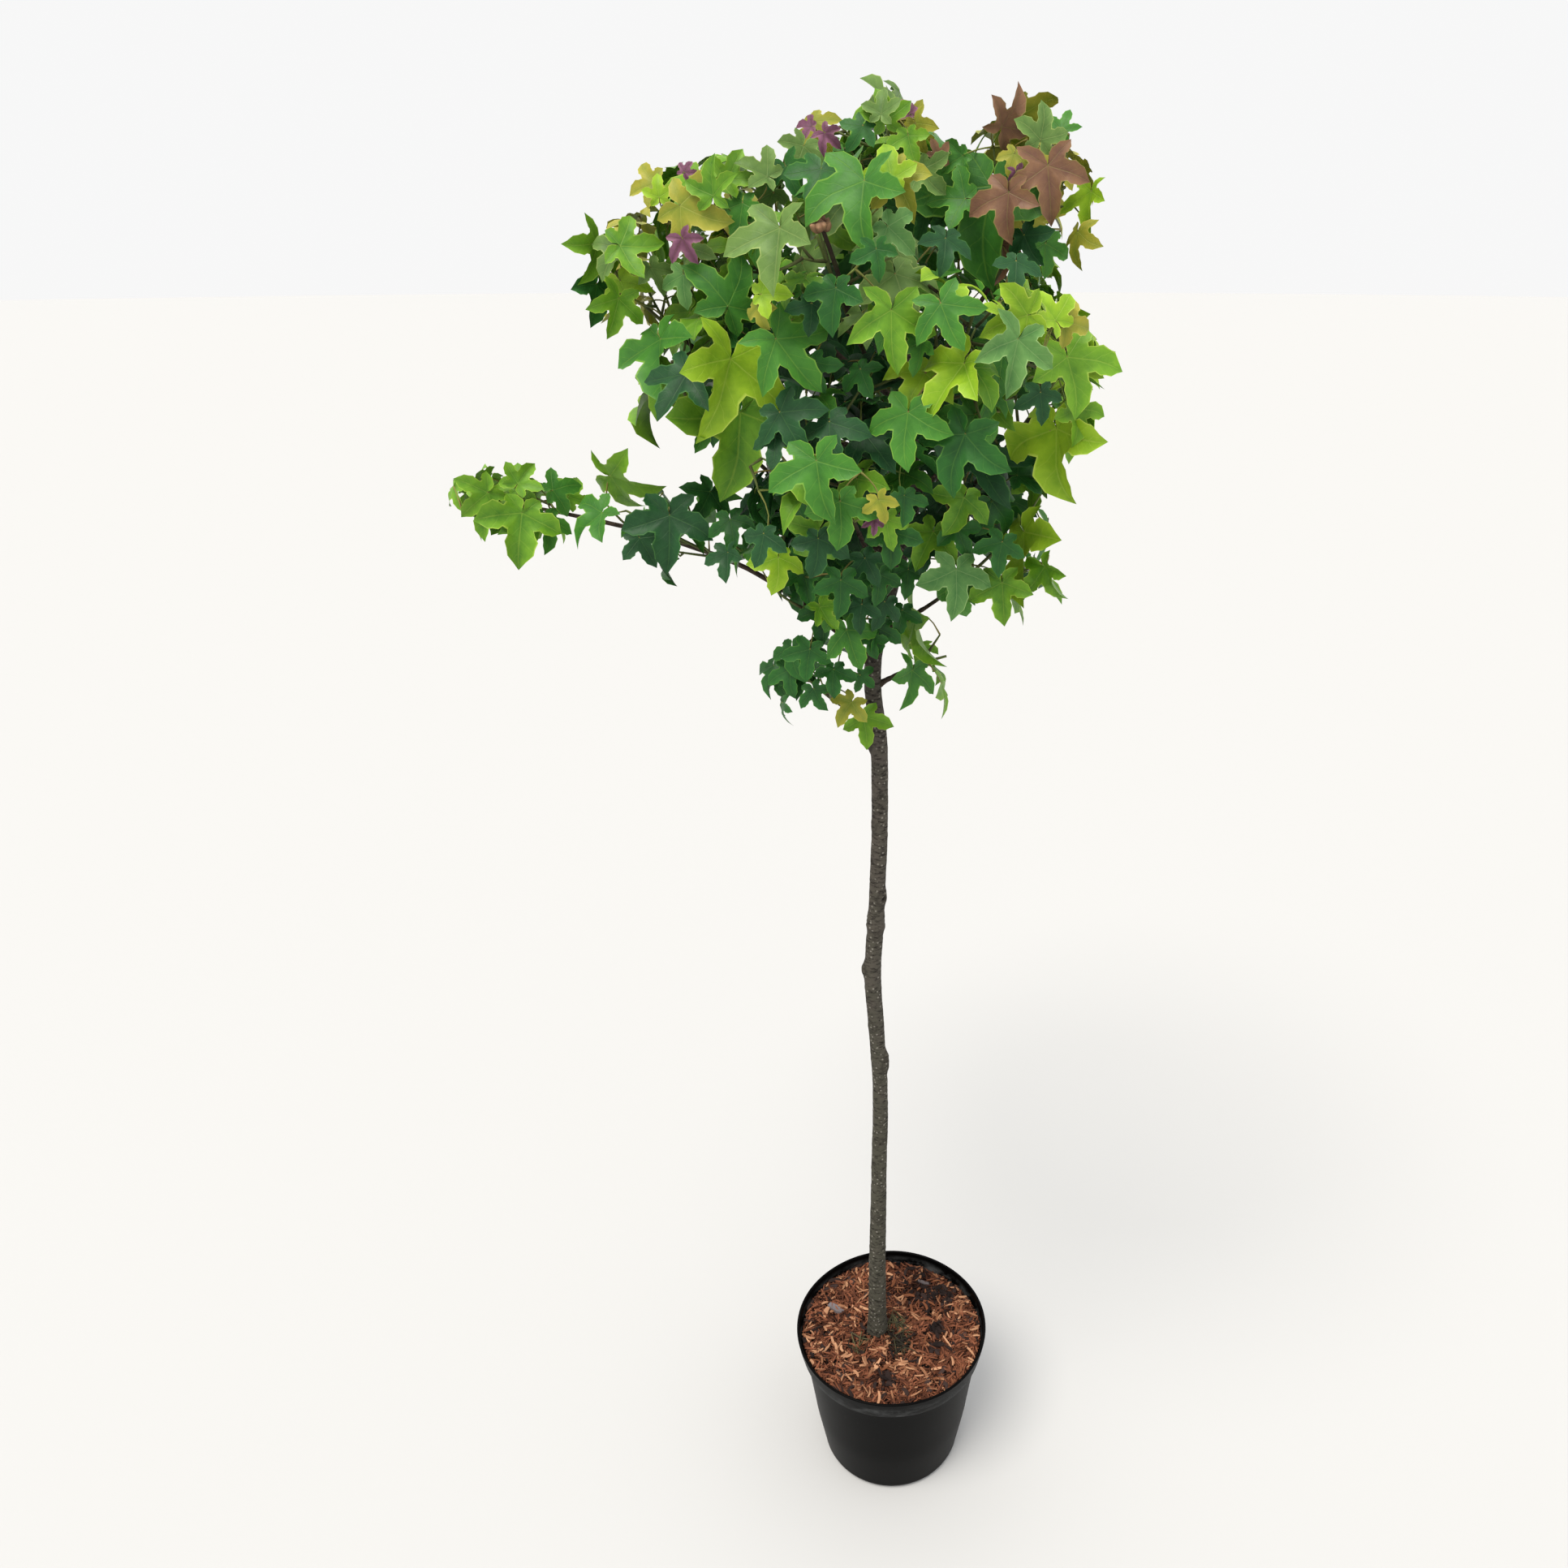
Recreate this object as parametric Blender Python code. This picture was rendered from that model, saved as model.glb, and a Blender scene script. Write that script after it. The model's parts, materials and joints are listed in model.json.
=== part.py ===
"""A young sweetgum tree, trained on a clear stem, in a black nursery pot.

Metres, +Z up. The origin is the centre of the pot's flat underside, and the side that shows most is -Y.
The pot is a turned shell, the mulch fills it, and the trunk stands on the mulch. Boughs leave the trunk
one above the other, and each ends where it enters a mass of leaves. A mass is a stem, twigs that branch from
it by a seeded rule, and five-lobed leaves on their stalks, joined into one solid that keeps to its own space.
"""

import math
import random

import bpy
import numpy as np
from mathutils.bvhtree import BVHTree

# Fit between neighbouring pieces
GAP = 0.0003
LIMB_CLEARANCE = 0.0015
SPACE_CLEARANCE = 0.0010

# Pot: outer sizes of the turned shell
POT_HEIGHT = 0.226
POT_RIM_RADIUS = 0.140
POT_BASE_RADIUS = 0.101
POT_BAND_HEIGHT = 0.032
POT_BAND_STEP = 0.005
POT_WALL = 0.0025
POT_FLOOR = 0.004
POT_FOOT_ROUND = 0.010
POT_FOOT_STEPS = 3
POT_LIP_DROP = 0.002
POT_LIP_IN = 0.0015
POT_SIDES = 36

# Mulch that fills the pot
MULCH_BELOW_RIM = 0.014
MULCH_LUMP = 0.003
MULCH_RINGS = (0.110, 0.084, 0.056, 0.030)
MULCH_SIDES = 24

# Trunk: height above the pot's underside, centre in X and Y, diameter
MULCH_TOP = POT_HEIGHT - MULCH_BELOW_RIM
TRUNK_FOOT = MULCH_TOP + GAP
TRUNK_COURSE = (
    (TRUNK_FOOT, -0.0210, 0.000, 0.0320),
    (0.245, -0.0210, 0.000, 0.0265),
    (0.340, -0.0205, 0.000, 0.0245),
    (0.500, -0.0180, 0.001, 0.0215),
    (0.674, -0.0165, 0.001, 0.0200),
    (0.760, -0.0210, 0.000, 0.0205),
    (0.840, -0.0250, -0.001, 0.0215),
    (0.930, -0.0205, 0.000, 0.0198),
    (1.070, -0.0158, 0.002, 0.0195),
    (1.160, -0.0170, 0.002, 0.0200),
    (1.250, -0.0235, 0.001, 0.0190),
    (1.333, -0.0060, 0.004, 0.0180),
    (1.418, 0.0190, 0.006, 0.0140),
    (1.500, 0.0200, 0.008, 0.0115),
    (1.600, 0.0110, 0.004, 0.0090),
    (1.700, -0.0060, 0.000, 0.0060),
)
TRUNK_SIDES = 9
TRUNK_RING_SPACING = 0.075
CROOK_RING_SPACING = 0.028
CROOK_HEIGHTS = (1.22, 1.56)
FLARE_LOBES = 5
FLARE_LOBE_DEPTH = 0.09
FLARE_HEIGHT = 0.025
FLARE_PHASE = 0.6
KNOT_RINGS = (-1.6, 0.0, 1.3)
RINGS_APART = 0.012

# Knots on the trunk: height, direction in degrees from +X, how far it stands out, half height, half angle
KNOTS = (
    (0.440, 260.0, 0.0014, 0.007, 40.0),
    (0.578, 280.0, 0.0012, 0.007, 40.0),
    (0.701, 330.0, 0.0018, 0.008, 45.0),
    (0.759, 235.0, 0.0016, 0.008, 45.0),
    (0.849, 180.0, 0.0045, 0.008, 40.0),
    (0.914, 270.0, 0.0014, 0.009, 180.0),
    (0.953, 300.0, 0.0016, 0.008, 45.0),
    (1.158, 185.0, 0.0070, 0.009, 38.0),
)

# Boughs
BOUGH_SIDES = 6
BOUGH_RINGS = 5
BOUGH_TAPER = 0.8
BOUGH_TIP_DIAMETER = 0.0045
BOUGH_THICKENING = 0.013
BOUGH_WIDEST = 1.1
BOUGH_SHORTEST = 0.030
BOUGH_RISE = 0.28
LOW_BOUGH_ARCH = 0.08
LOW_BOUGH_LIFT = 0.05
BOUGH_END_DEPTH = 0.004
FORK_HALF_HEIGHT = 0.008

# Twigs and leaves
STEM_DIAMETERS = (0.0054, 0.0034)
STEM_SHARES = (0.0, 0.34, 0.67, 1.0)
STEM_REACH = 0.62
STEM_RISE = 0.75
TOP_STEM_REACH = (0.004, -0.004, 0.035)
TOP_STEM_BEND = (-0.004, 0.0, 0.0)
TWIG_DIAMETERS = (0.0036, 0.0030)
TWIG_LENGTHS = (0.100, 0.085, 0.070, 0.055, 0.040)
TWIG_LEAN = 52.0
TWIG_LEAN_SPREAD = 12.0
TWIG_TRIES = 12
TWIG_SHARES = (0.18, 0.88)
TWIG_END_DEPTH = 0.010
TWIG_CLEAR_RADIUS = 0.0022
TWIG_CLEAR_START = 0.006
LEAVES_PER_TWIG = 3.4
FEWEST_TWIGS = 3
STALK_DIAMETER = 0.0020
STALK_TAPER = 0.36
STALK_SPREAD = 0.012
STALK_LEANS = (38.0, 78.0)
TIP_STALK_LEANS = (6.0, 22.0)
FACE_SWING = 28.0
TIP_SINK = 0.0015
STALK_SHARE = 0.70
STALK_LENGTH_SPREAD = (0.7, 1.2)
STALK_CLEAR_START = 0.0045
LEAF_SITE_SHARES = (1.0, 0.62, 0.30, 0.82, 0.46)
STEM_SITE_LOWEST = 0.4
LEAF_THICKNESS = 0.0018
LEAF_CREST = 0.10
LEAF_DROOP = 0.14
LEAF_LENGTH_SPREAD = (0.86, 1.14)
LEAF_SHRINK = 0.30
LEAF_HANG = (15.0, 75.0)
LEAF_SWING = 40.0
LEAF_ROLL = 30.0
LEAF_LIFT = 0.35
CROWN_HEART_BELOW = 0.05
BRANCH_HEART_BELOW = 0.08
OUTWARD_WEIGHTS = (1.0, 1.0, 0.6)
STALK_PULL = 0.45
STALK_BACKWARD = -0.35
STALK_UNDER = -0.25
LEAF_TRIES = 150
TIP_TRIES = 10

# Leaf outline: angle from the midrib in degrees and reach as a share of the leaf's length
LOBES = ((0.0, 1.00), (60.0, 0.90), (122.0, 0.66))
NOTCHES = ((30.0, 0.46), (92.0, 0.38))

# Bud cluster at the end of a bare shoot
BUD_MASS = "front_upper"
BUD_PLACE = (-0.062, -0.205, 1.700)
BUD_SHOOT_BEND = (0.004, 0.0, -0.004)
BUD_SHOOT_RADII = (0.0017, 0.0015, 0.0013)
SIDE_BUDS = 4
SIDE_BUD_FORWARD = 0.26
BUD_STAND = 0.42
BUD_LENGTH = 0.0150
BUD_WIDTH = 0.0085

# Masses of leaves: centre, half sizes, height at which the bough leaves the trunk, leaves, leaf length
MASSES = {
    "top": ((-0.010, 0.000, 1.756), (0.089, 0.094, 0.073), 1.700, 18, 0.056),
    "upper_left": ((-0.143, -0.014, 1.699), (0.107, 0.105, 0.091), 1.535, 20, 0.060),
    "far_left": ((-0.255, -0.019, 1.647), (0.071, 0.089, 0.098), 1.470, 16, 0.054),
    "left": ((-0.179, -0.066, 1.552), (0.100, 0.102, 0.100), 1.375, 20, 0.065),
    "front_upper": ((-0.048, -0.143, 1.659), (0.098, 0.093, 0.093), 1.515, 20, 0.065),
    "front_low": ((-0.052, -0.136, 1.508), (0.115, 0.098, 0.102), 1.345, 21, 0.067),
    "upper_right": ((0.114, -0.005, 1.730), (0.093, 0.102, 0.100), 1.555, 20, 0.060),
    "right": ((0.131, -0.056, 1.562), (0.098, 0.104, 0.107), 1.400, 21, 0.065),
    "right_low": ((0.099, -0.033, 1.404), (0.098, 0.098, 0.109), 1.300, 20, 0.058),
    "middle_right": ((0.058, -0.147, 1.609), (0.093, 0.098, 0.104), 1.490, 16, 0.060),
    "low_centre": ((-0.088, -0.047, 1.395), (0.102, 0.102, 0.100), 1.285, 18, 0.056),
    "long_tip": ((-0.409, 0.000, 1.425), (0.068, 0.062, 0.062), 0.000, 12, 0.048),
    "long_middle": ((-0.237, 0.000, 1.412), (0.094, 0.064, 0.068), 0.000, 14, 0.053),
    "low_left": ((-0.090, -0.020, 1.252), (0.066, 0.062, 0.074), 1.190, 13, 0.048),
    "low_right": ((0.040, 0.000, 1.250), (0.040, 0.055, 0.074), 1.232, 8, 0.044),
    "back_top": ((0.013, 0.118, 1.698), (0.122, 0.102, 0.093), 1.575, 20, 0.063),
    "back_left": ((-0.136, 0.103, 1.583), (0.115, 0.109, 0.109), 1.420, 21, 0.065),
    "back_right": ((0.131, 0.109, 1.579), (0.109, 0.105, 0.109), 1.445, 21, 0.065),
    "back_middle": ((-0.006, 0.156, 1.546), (0.093, 0.089, 0.100), 1.460, 18, 0.063),
    "back_low": ((-0.010, 0.109, 1.413), (0.115, 0.100, 0.098), 1.325, 20, 0.060),
}

MASS_NAMES = list(MASSES)
MASS_CENTRES = np.array([row[0] for row in MASSES.values()])
MASS_HALVES = np.array([row[1] for row in MASSES.values()])

# The long low branch on the left: one bough that bears two masses
LONG_BOUGH_FORK = 1.262
LONG_BOUGH_COURSE = (
    (-0.070, 0.002, 1.300),
    (-0.152, 0.000, 1.365),
    (-0.264, 0.000, 1.405),
    (-0.350, 0.000, 1.424),
)
LONG_BOUGH_DIAMETERS = (0.0075, 0.0042)
LONG_SIDE_SHOOT = 0.55
LONG_TIP_REACH = (-0.030, 0.0, 0.012)
LONG_SIDE_HEADING = (0.0, -1.0, 0.35)
LONG_SIDE_OUT = 0.014
LONG_SIDE_BEND = (-0.020, 0.0, 0.004)
LONG_SIDE_REACH = (-0.045, -0.022, 0.020)

# Colours, linear red, green, blue
COLOURS = {
    "pot": (0.010, 0.010, 0.011),
    "mulch": (0.105, 0.045, 0.026),
    "bark": (0.190, 0.155, 0.105),
    "young_bark": (0.085, 0.060, 0.045),
    "leaf": (0.075, 0.200, 0.028),
    "leaf_light": (0.260, 0.420, 0.035),
    "leaf_bronze": (0.270, 0.120, 0.045),
    "leaf_deep": (0.030, 0.110, 0.040),
}
ROUGHNESS = {"pot": 0.55, "mulch": 0.95, "bark": 0.85, "young_bark": 0.8}
LEAF_ROUGHNESS = 0.5
LIGHT_MASSES = ("right", "upper_left", "far_left")
BRONZE_MASSES = ("upper_right",)
DEEP_MASSES = ("long_tip", "long_middle", "low_left", "low_centre", "back_low")


def clear_scene():
    for obj in list(bpy.data.objects):
        bpy.data.objects.remove(obj, do_unlink=True)


def plain_material(name):
    material = bpy.data.materials.get(name)
    if material is None:
        material = bpy.data.materials.new(name)
        material.use_nodes = True
        shader = material.node_tree.nodes["Principled BSDF"]
        shader.inputs["Base Color"].default_value = (*COLOURS[name], 1.0)
        shader.inputs["Roughness"].default_value = ROUGHNESS.get(name, LEAF_ROUGHNESS)
        shader.inputs["Metallic"].default_value = 0.0
        material.diffuse_color = (*COLOURS[name], 1.0)
    return material


def add_object(name, points, faces, material=None):
    mesh = bpy.data.meshes.new(name)
    mesh.from_pydata([tuple(point) for point in points], [], faces)
    mesh.update()
    obj = bpy.data.objects.new(name, mesh)
    bpy.context.scene.collection.objects.link(obj)
    if material is not None:
        mesh.materials.append(material)
    return obj


def shade_smooth(obj, angle):
    obj.data.shade_smooth()
    obj.data.set_sharp_from_angle(angle=math.radians(angle))


def unit(vector):
    return vector / np.linalg.norm(vector)


def turned_faces(rings, sides):
    """Quads between rings of points, one ring after the other, that close round the axis."""
    faces = []
    for ring in range(rings - 1):
        for side in range(sides):
            following = (side + 1) % sides
            low, high = ring * sides, (ring + 1) * sides
            faces.append((low + side, low + following, high + following, high + side))
    return faces


def crosses_itself(points, faces):
    """Whether two triangles of a solid that share no corner cut through each other."""
    flat = triangles(faces)
    tree = search_tree(points, faces)
    return any(not set(flat[one]) & set(flat[other]) for one, other in tree.overlap(tree) if one < other)


def carried_frames(course):
    """For each point of a course, its direction and a side vector carried along with the least twist."""
    course = [np.asarray(point, dtype=float) for point in course]
    frames = []
    side = None
    for index in range(len(course)):
        along = unit(course[min(index + 1, len(course) - 1)] - course[max(index - 1, 0)])
        if side is None:
            helper = np.array((0.0, 0.0, 1.0)) if abs(along[2]) < 0.9 else np.array((0.0, 1.0, 0.0))
            side = np.cross(along, helper)
        side = unit(side - along * np.dot(side, along))
        frames.append((along, side))
    return frames


def tube(course, radii, sides, first_normal=None):
    """A closed tube along a course, with one ring of corners for each point.

    The first ring is sheared along the tube into the plane whose normal is given, so it can lie flat
    on a face.
    """
    points = []
    for index, (along, side) in enumerate(carried_frames(course)):
        up = np.cross(along, side)
        for corner in range(sides):
            angle = 2.0 * math.pi * corner / sides
            offset = radii[index] * (math.cos(angle) * side + math.sin(angle) * up)
            if index == 0 and first_normal is not None:
                offset = offset - along * (np.dot(offset, first_normal) / np.dot(along, first_normal))
            points.append(course[index] + offset)
    faces = turned_faces(len(course), sides)
    faces.append(tuple(reversed(range(sides))))
    faces.append(tuple(range((len(course) - 1) * sides, len(course) * sides)))
    return points, faces


def triangles(faces):
    flat = []
    for face in faces:
        for index in range(1, len(face) - 1):
            flat.append((face[0], face[index], face[index + 1]))
    return flat


def search_tree(points, faces):
    return BVHTree.FromPolygons([tuple(point) for point in points], triangles(faces))


def build_pot():
    """A shell of revolution: flat underside, rounded foot, tapering wall, and a band set out at the rim."""
    band_low = POT_HEIGHT - POT_BAND_HEIGHT
    slope = (POT_RIM_RADIUS - POT_BASE_RADIUS) / POT_HEIGHT

    def wall_radius(height):
        return POT_BASE_RADIUS + slope * height

    outer = []
    for step in range(POT_FOOT_STEPS + 1):
        turn = 0.5 * math.pi * step / POT_FOOT_STEPS
        radius = wall_radius(POT_FOOT_ROUND) - POT_FOOT_ROUND * (1.0 - math.sin(turn))
        outer.append((radius, POT_FOOT_ROUND * (1.0 - math.cos(turn))))
    outer.append((wall_radius(band_low) - POT_BAND_STEP, band_low))
    outer.append((wall_radius(band_low), band_low + 0.5 * POT_BAND_STEP))
    outer.append((POT_RIM_RADIUS, POT_HEIGHT - POT_LIP_DROP))
    outer.append((POT_RIM_RADIUS - POT_LIP_IN, POT_HEIGHT))
    inner = [
        (POT_RIM_RADIUS - POT_WALL - POT_LIP_IN, POT_HEIGHT),
        (wall_radius(band_low) - POT_BAND_STEP - POT_WALL, band_low + POT_BAND_STEP),
        (wall_radius(POT_FLOOR) - POT_WALL - POT_FOOT_ROUND * 0.5, POT_FLOOR),
    ]
    profile = outer + inner
    points = []
    for radius, height in profile:
        for side in range(POT_SIDES):
            angle = 2.0 * math.pi * side / POT_SIDES
            points.append((radius * math.cos(angle), radius * math.sin(angle), height))
    faces = turned_faces(len(profile), POT_SIDES)
    faces.append(tuple(reversed(range(POT_SIDES))))
    faces.append(tuple(range((len(profile) - 1) * POT_SIDES, len(profile) * POT_SIDES)))
    pot = add_object("pot", points, faces, plain_material("pot"))
    shade_smooth(pot, 35.0)


def build_mulch():
    """A plug that keeps clear of the pot's inside, with a lumpy top that is flat round the trunk's foot."""
    rng = random.Random(11)
    band_low = POT_HEIGHT - POT_BAND_HEIGHT
    slope = (POT_RIM_RADIUS - POT_BASE_RADIUS) / POT_HEIGHT
    inset = math.cos(math.pi / POT_SIDES)
    low = POT_FLOOR + GAP
    low_radius = POT_BASE_RADIUS + slope * POT_FLOOR - POT_WALL - POT_FOOT_ROUND * 0.5
    neck = band_low + POT_BAND_STEP
    neck_radius = POT_BASE_RADIUS + slope * band_low - POT_BAND_STEP - POT_WALL
    mouth_radius = POT_RIM_RADIUS - POT_WALL - POT_LIP_IN
    edge = MULCH_TOP - MULCH_LUMP
    edge_radius = neck_radius + (mouth_radius - neck_radius) * (edge - neck) / (POT_HEIGHT - neck)
    sides = [(low_radius, low), (neck_radius, neck), (edge_radius, edge)]
    profile = [(radius * inset - GAP, height) for radius, height in sides]
    profile += [(radius, MULCH_TOP) for radius in MULCH_RINGS]
    points = []
    for ring, (radius, height) in enumerate(profile):
        for side in range(MULCH_SIDES):
            angle = 2.0 * math.pi * side / MULCH_SIDES
            lump = rng.uniform(-1.0, 0.6) * MULCH_LUMP if len(sides) <= ring < len(profile) - 1 else 0.0
            centre_x = TRUNK_COURSE[0][1] if ring == len(profile) - 1 else 0.0
            points.append((centre_x + radius * math.cos(angle), radius * math.sin(angle), height + lump))
    faces = turned_faces(len(profile), MULCH_SIDES)
    faces.append(tuple(reversed(range(MULCH_SIDES))))
    faces.append(tuple(range((len(profile) - 1) * MULCH_SIDES, len(profile) * MULCH_SIDES)))
    add_object("mulch", points, faces, plain_material("mulch"))


def trunk_centre(height):
    """The trunk's centre at a height: a smooth curve through the named course."""
    heights = np.array([row[0] for row in TRUNK_COURSE])
    centre = []
    for column in (1, 2):
        values = np.array([row[column] for row in TRUNK_COURSE])
        slopes = np.gradient(values, heights)
        index = int(np.clip(np.searchsorted(heights, height) - 1, 0, len(heights) - 2))
        span = heights[index + 1] - heights[index]
        share = (height - heights[index]) / span
        start = (2 * share**3 - 3 * share**2 + 1) * values[index]
        start_slope = (share**3 - 2 * share**2 + share) * span * slopes[index]
        end = (-2 * share**3 + 3 * share**2) * values[index + 1]
        end_slope = (share**3 - share**2) * span * slopes[index + 1]
        centre.append(start + start_slope + end + end_slope)
    return np.array((centre[0], centre[1], height))


def trunk_radius(height):
    heights = [row[0] for row in TRUNK_COURSE]
    return 0.5 * float(np.interp(height, heights, [row[3] for row in TRUNK_COURSE]))


def trunk_ring_heights():
    """Even rings from foot to tip, closer in the crook below the crown, at each knot and at the flare."""
    knot_rings = [TRUNK_FOOT + FLARE_HEIGHT * 0.4, TRUNK_FOOT + FLARE_HEIGHT]
    for height, _, _, half_height, _ in KNOTS:
        knot_rings += [height + share * half_height for share in KNOT_RINGS]
    top = TRUNK_COURSE[-1][0]
    kept = [TRUNK_FOOT, top]
    height = TRUNK_FOOT
    while height < top:
        in_crook = CROOK_HEIGHTS[0] < height < CROOK_HEIGHTS[1]
        height += CROOK_RING_SPACING if in_crook else TRUNK_RING_SPACING
        if min(abs(height - ring) for ring in knot_rings + [top]) > RINGS_APART and height < top:
            kept.append(height)
    return sorted(kept + knot_rings)


def trunk_ring(height):
    """One ring of the trunk, pushed out at the root flare and at each knot."""
    centre = trunk_centre(height)
    points = []
    for side in range(TRUNK_SIDES):
        angle = 2.0 * math.pi * side / TRUNK_SIDES
        flare = math.exp(-(height - TRUNK_FOOT) / FLARE_HEIGHT)
        lobes = math.cos(FLARE_LOBES * angle + FLARE_PHASE)
        radius = trunk_radius(height) * (1.0 + FLARE_LOBE_DEPTH * flare * lobes)
        for knot_height, direction, stand, half_height, half_angle in KNOTS:
            turn = (math.degrees(angle) - direction + 180.0) % 360.0 - 180.0
            near = ((height - knot_height) / half_height) ** 2 + (turn / half_angle) ** 2
            radius += stand * math.exp(-near)
        points.append(centre + radius * np.array((math.cos(angle), math.sin(angle), 0.0)))
    return np.array(points)


def trunk_reach(fork, radial):
    """How far the trunk's faces stand out from its centre at a fork, in the direction of a bough."""
    heights = trunk_ring_heights()
    foot = trunk_centre(fork)
    reach = 0.0
    for height in np.linspace(fork - FORK_HALF_HEIGHT, fork + FORK_HALF_HEIGHT, 5):
        index = max(ring for ring in range(len(heights) - 1) if heights[ring] <= height)
        share = (height - heights[index]) / (heights[index + 1] - heights[index])
        points = trunk_ring(heights[index]) * (1.0 - share) + trunk_ring(heights[index + 1]) * share
        reach = max(reach, float(((points - foot) @ radial).max()))
    return reach


def build_trunk():
    """Rings of points round the curved centre line."""
    heights = trunk_ring_heights()
    points = [point for height in heights for point in trunk_ring(height)]
    faces = turned_faces(len(heights), TRUNK_SIDES)
    faces.append(tuple(reversed(range(TRUNK_SIDES))))
    faces.append(tuple(range((len(heights) - 1) * TRUNK_SIDES, len(heights) * TRUNK_SIDES)))
    trunk = add_object("trunk", points, faces, plain_material("bark"))
    shade_smooth(trunk, 60.0)
    return points, faces


def inside_space(points, mass, margin=0.0):
    """Whether every point lies in a mass's own space: its ellipsoid, cut back to its side of each neighbour.

    Two neighbours are parted by the plane on which their spheres of mean radius have equal power.
    """
    points = np.atleast_2d(points)
    own = MASS_NAMES.index(mass)
    scaled = (points - MASS_CENTRES[own]) / (MASS_HALVES[own] - margin)
    if np.einsum("ij,ij->i", scaled, scaled).max() > 1.0:
        return False
    offsets = points[:, None, :] - MASS_CENTRES[None, :, :]
    powers = np.einsum("ijk,ijk->ij", offsets, offsets) - MASS_HALVES.mean(axis=1) ** 2
    apart = np.linalg.norm(MASS_CENTRES - MASS_CENTRES[own], axis=1)
    apart[own] = 1.0
    room = (powers - powers[:, own : own + 1]) / (2.0 * apart)
    room[:, own] = 1.0
    return bool(room.min() > SPACE_CLEARANCE + margin)


def bezier(start, bend, end, share):
    return (1 - share) ** 2 * start + 2 * share * (1 - share) * bend + share**2 * end


def limb_course(mass):
    """From the trunk to beyond the heart of a mass: the course that its bough and then its stem follow."""
    centre, half, fork, _, _ = MASSES[mass]
    centre = np.array(centre)
    foot = trunk_centre(fork)
    outward = centre - foot
    level = unit(np.array((outward[0], outward[1], 0.0)))
    trunk_along = unit(trunk_centre(fork + 0.005) - trunk_centre(fork - 0.005))
    radial = unit(level - trunk_along * np.dot(level, trunk_along))
    start = foot + radial * (trunk_reach(fork, radial) + GAP)
    end = centre + STEM_REACH * min(half) * unit(level + np.array((0.0, 0.0, STEM_RISE)))
    reach = float(np.linalg.norm(end - start))
    bend = start + 0.5 * (end - start) - np.array((0.0, 0.0, BOUGH_RISE * 0.5 * reach))
    if end[2] - start[2] < LOW_BOUGH_LIFT:
        bend = start + 0.5 * (end - start) + np.array((0.0, 0.0, LOW_BOUGH_ARCH * reach))
    return start, bend, end, radial


def split_course(mass, start, bend, end):
    """The share of the course at which the bough gives way to the stem, just inside the mass's space."""
    reach = float(np.linalg.norm(end - start))
    for step in range(200):
        share = step / 200.0
        point = bezier(start, bend, end, share)
        if share * reach > BOUGH_SHORTEST and inside_space(point, mass, BOUGH_END_DEPTH):
            return share
    raise ValueError(mass)


def bough_radius(thick, thin, share):
    """A bough's radius at a share of its length."""
    return 0.5 * (thick + (thin - thick) * share**BOUGH_TAPER)


def build_bough(name, course, thick, thin, first_normal):
    """A tapering limb. Returns a search tree of it, a little wider, for the leaves to keep clear of."""
    radii = [bough_radius(thick, thin, index / (len(course) - 1)) for index in range(len(course))]
    points, faces = tube(course, radii, BOUGH_SIDES, first_normal=first_normal)
    bough = add_object(name, points, faces, plain_material("young_bark"))
    shade_smooth(bough, 60.0)
    wide = [radius + LIMB_CLEARANCE for radius in radii]
    return search_tree(*tube(course, wide, BOUGH_SIDES, first_normal=first_normal))


def build_boughs():
    """One tapering bough for each mass. Returns their search trees and the course of each mass's stem."""
    trees = []
    stems = {}
    for mass in MASSES:
        if mass == "top":
            tip = trunk_centre(TRUNK_COURSE[-1][0])
            far = np.array(MASSES[mass][0]) + np.array(TOP_STEM_REACH)
            bend = 0.5 * (tip + far) + np.array(TOP_STEM_BEND)
            stems[mass] = (tip + np.array((0.0, 0.0, GAP)), bend, far, None)
        elif MASSES[mass][2] > 0.0:
            start, bend, end, radial = limb_course(mass)
            split = split_course(mass, start, bend, end)
            shares = [split * ring / (BOUGH_RINGS - 1) for ring in range(BOUGH_RINGS)]
            course = [bezier(start, bend, end, share) for share in shares]
            length = float(np.linalg.norm(np.diff(course, axis=0), axis=1).sum())
            widest = BOUGH_WIDEST * trunk_radius(MASSES[mass][2])
            thick = min(BOUGH_TIP_DIAMETER + BOUGH_THICKENING * length, widest)
            trees.append(build_bough("bough_" + mass, course, thick, BOUGH_TIP_DIAMETER, radial))
            along = unit(course[-1] - course[-2])
            joint = course[-1] + along * GAP
            ahead = bezier(start, bend, end, 0.5 * (1.0 + split))
            stems[mass] = (joint, ahead, end, along)
    trees.append(build_long_bough(stems))
    return trees, stems


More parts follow.
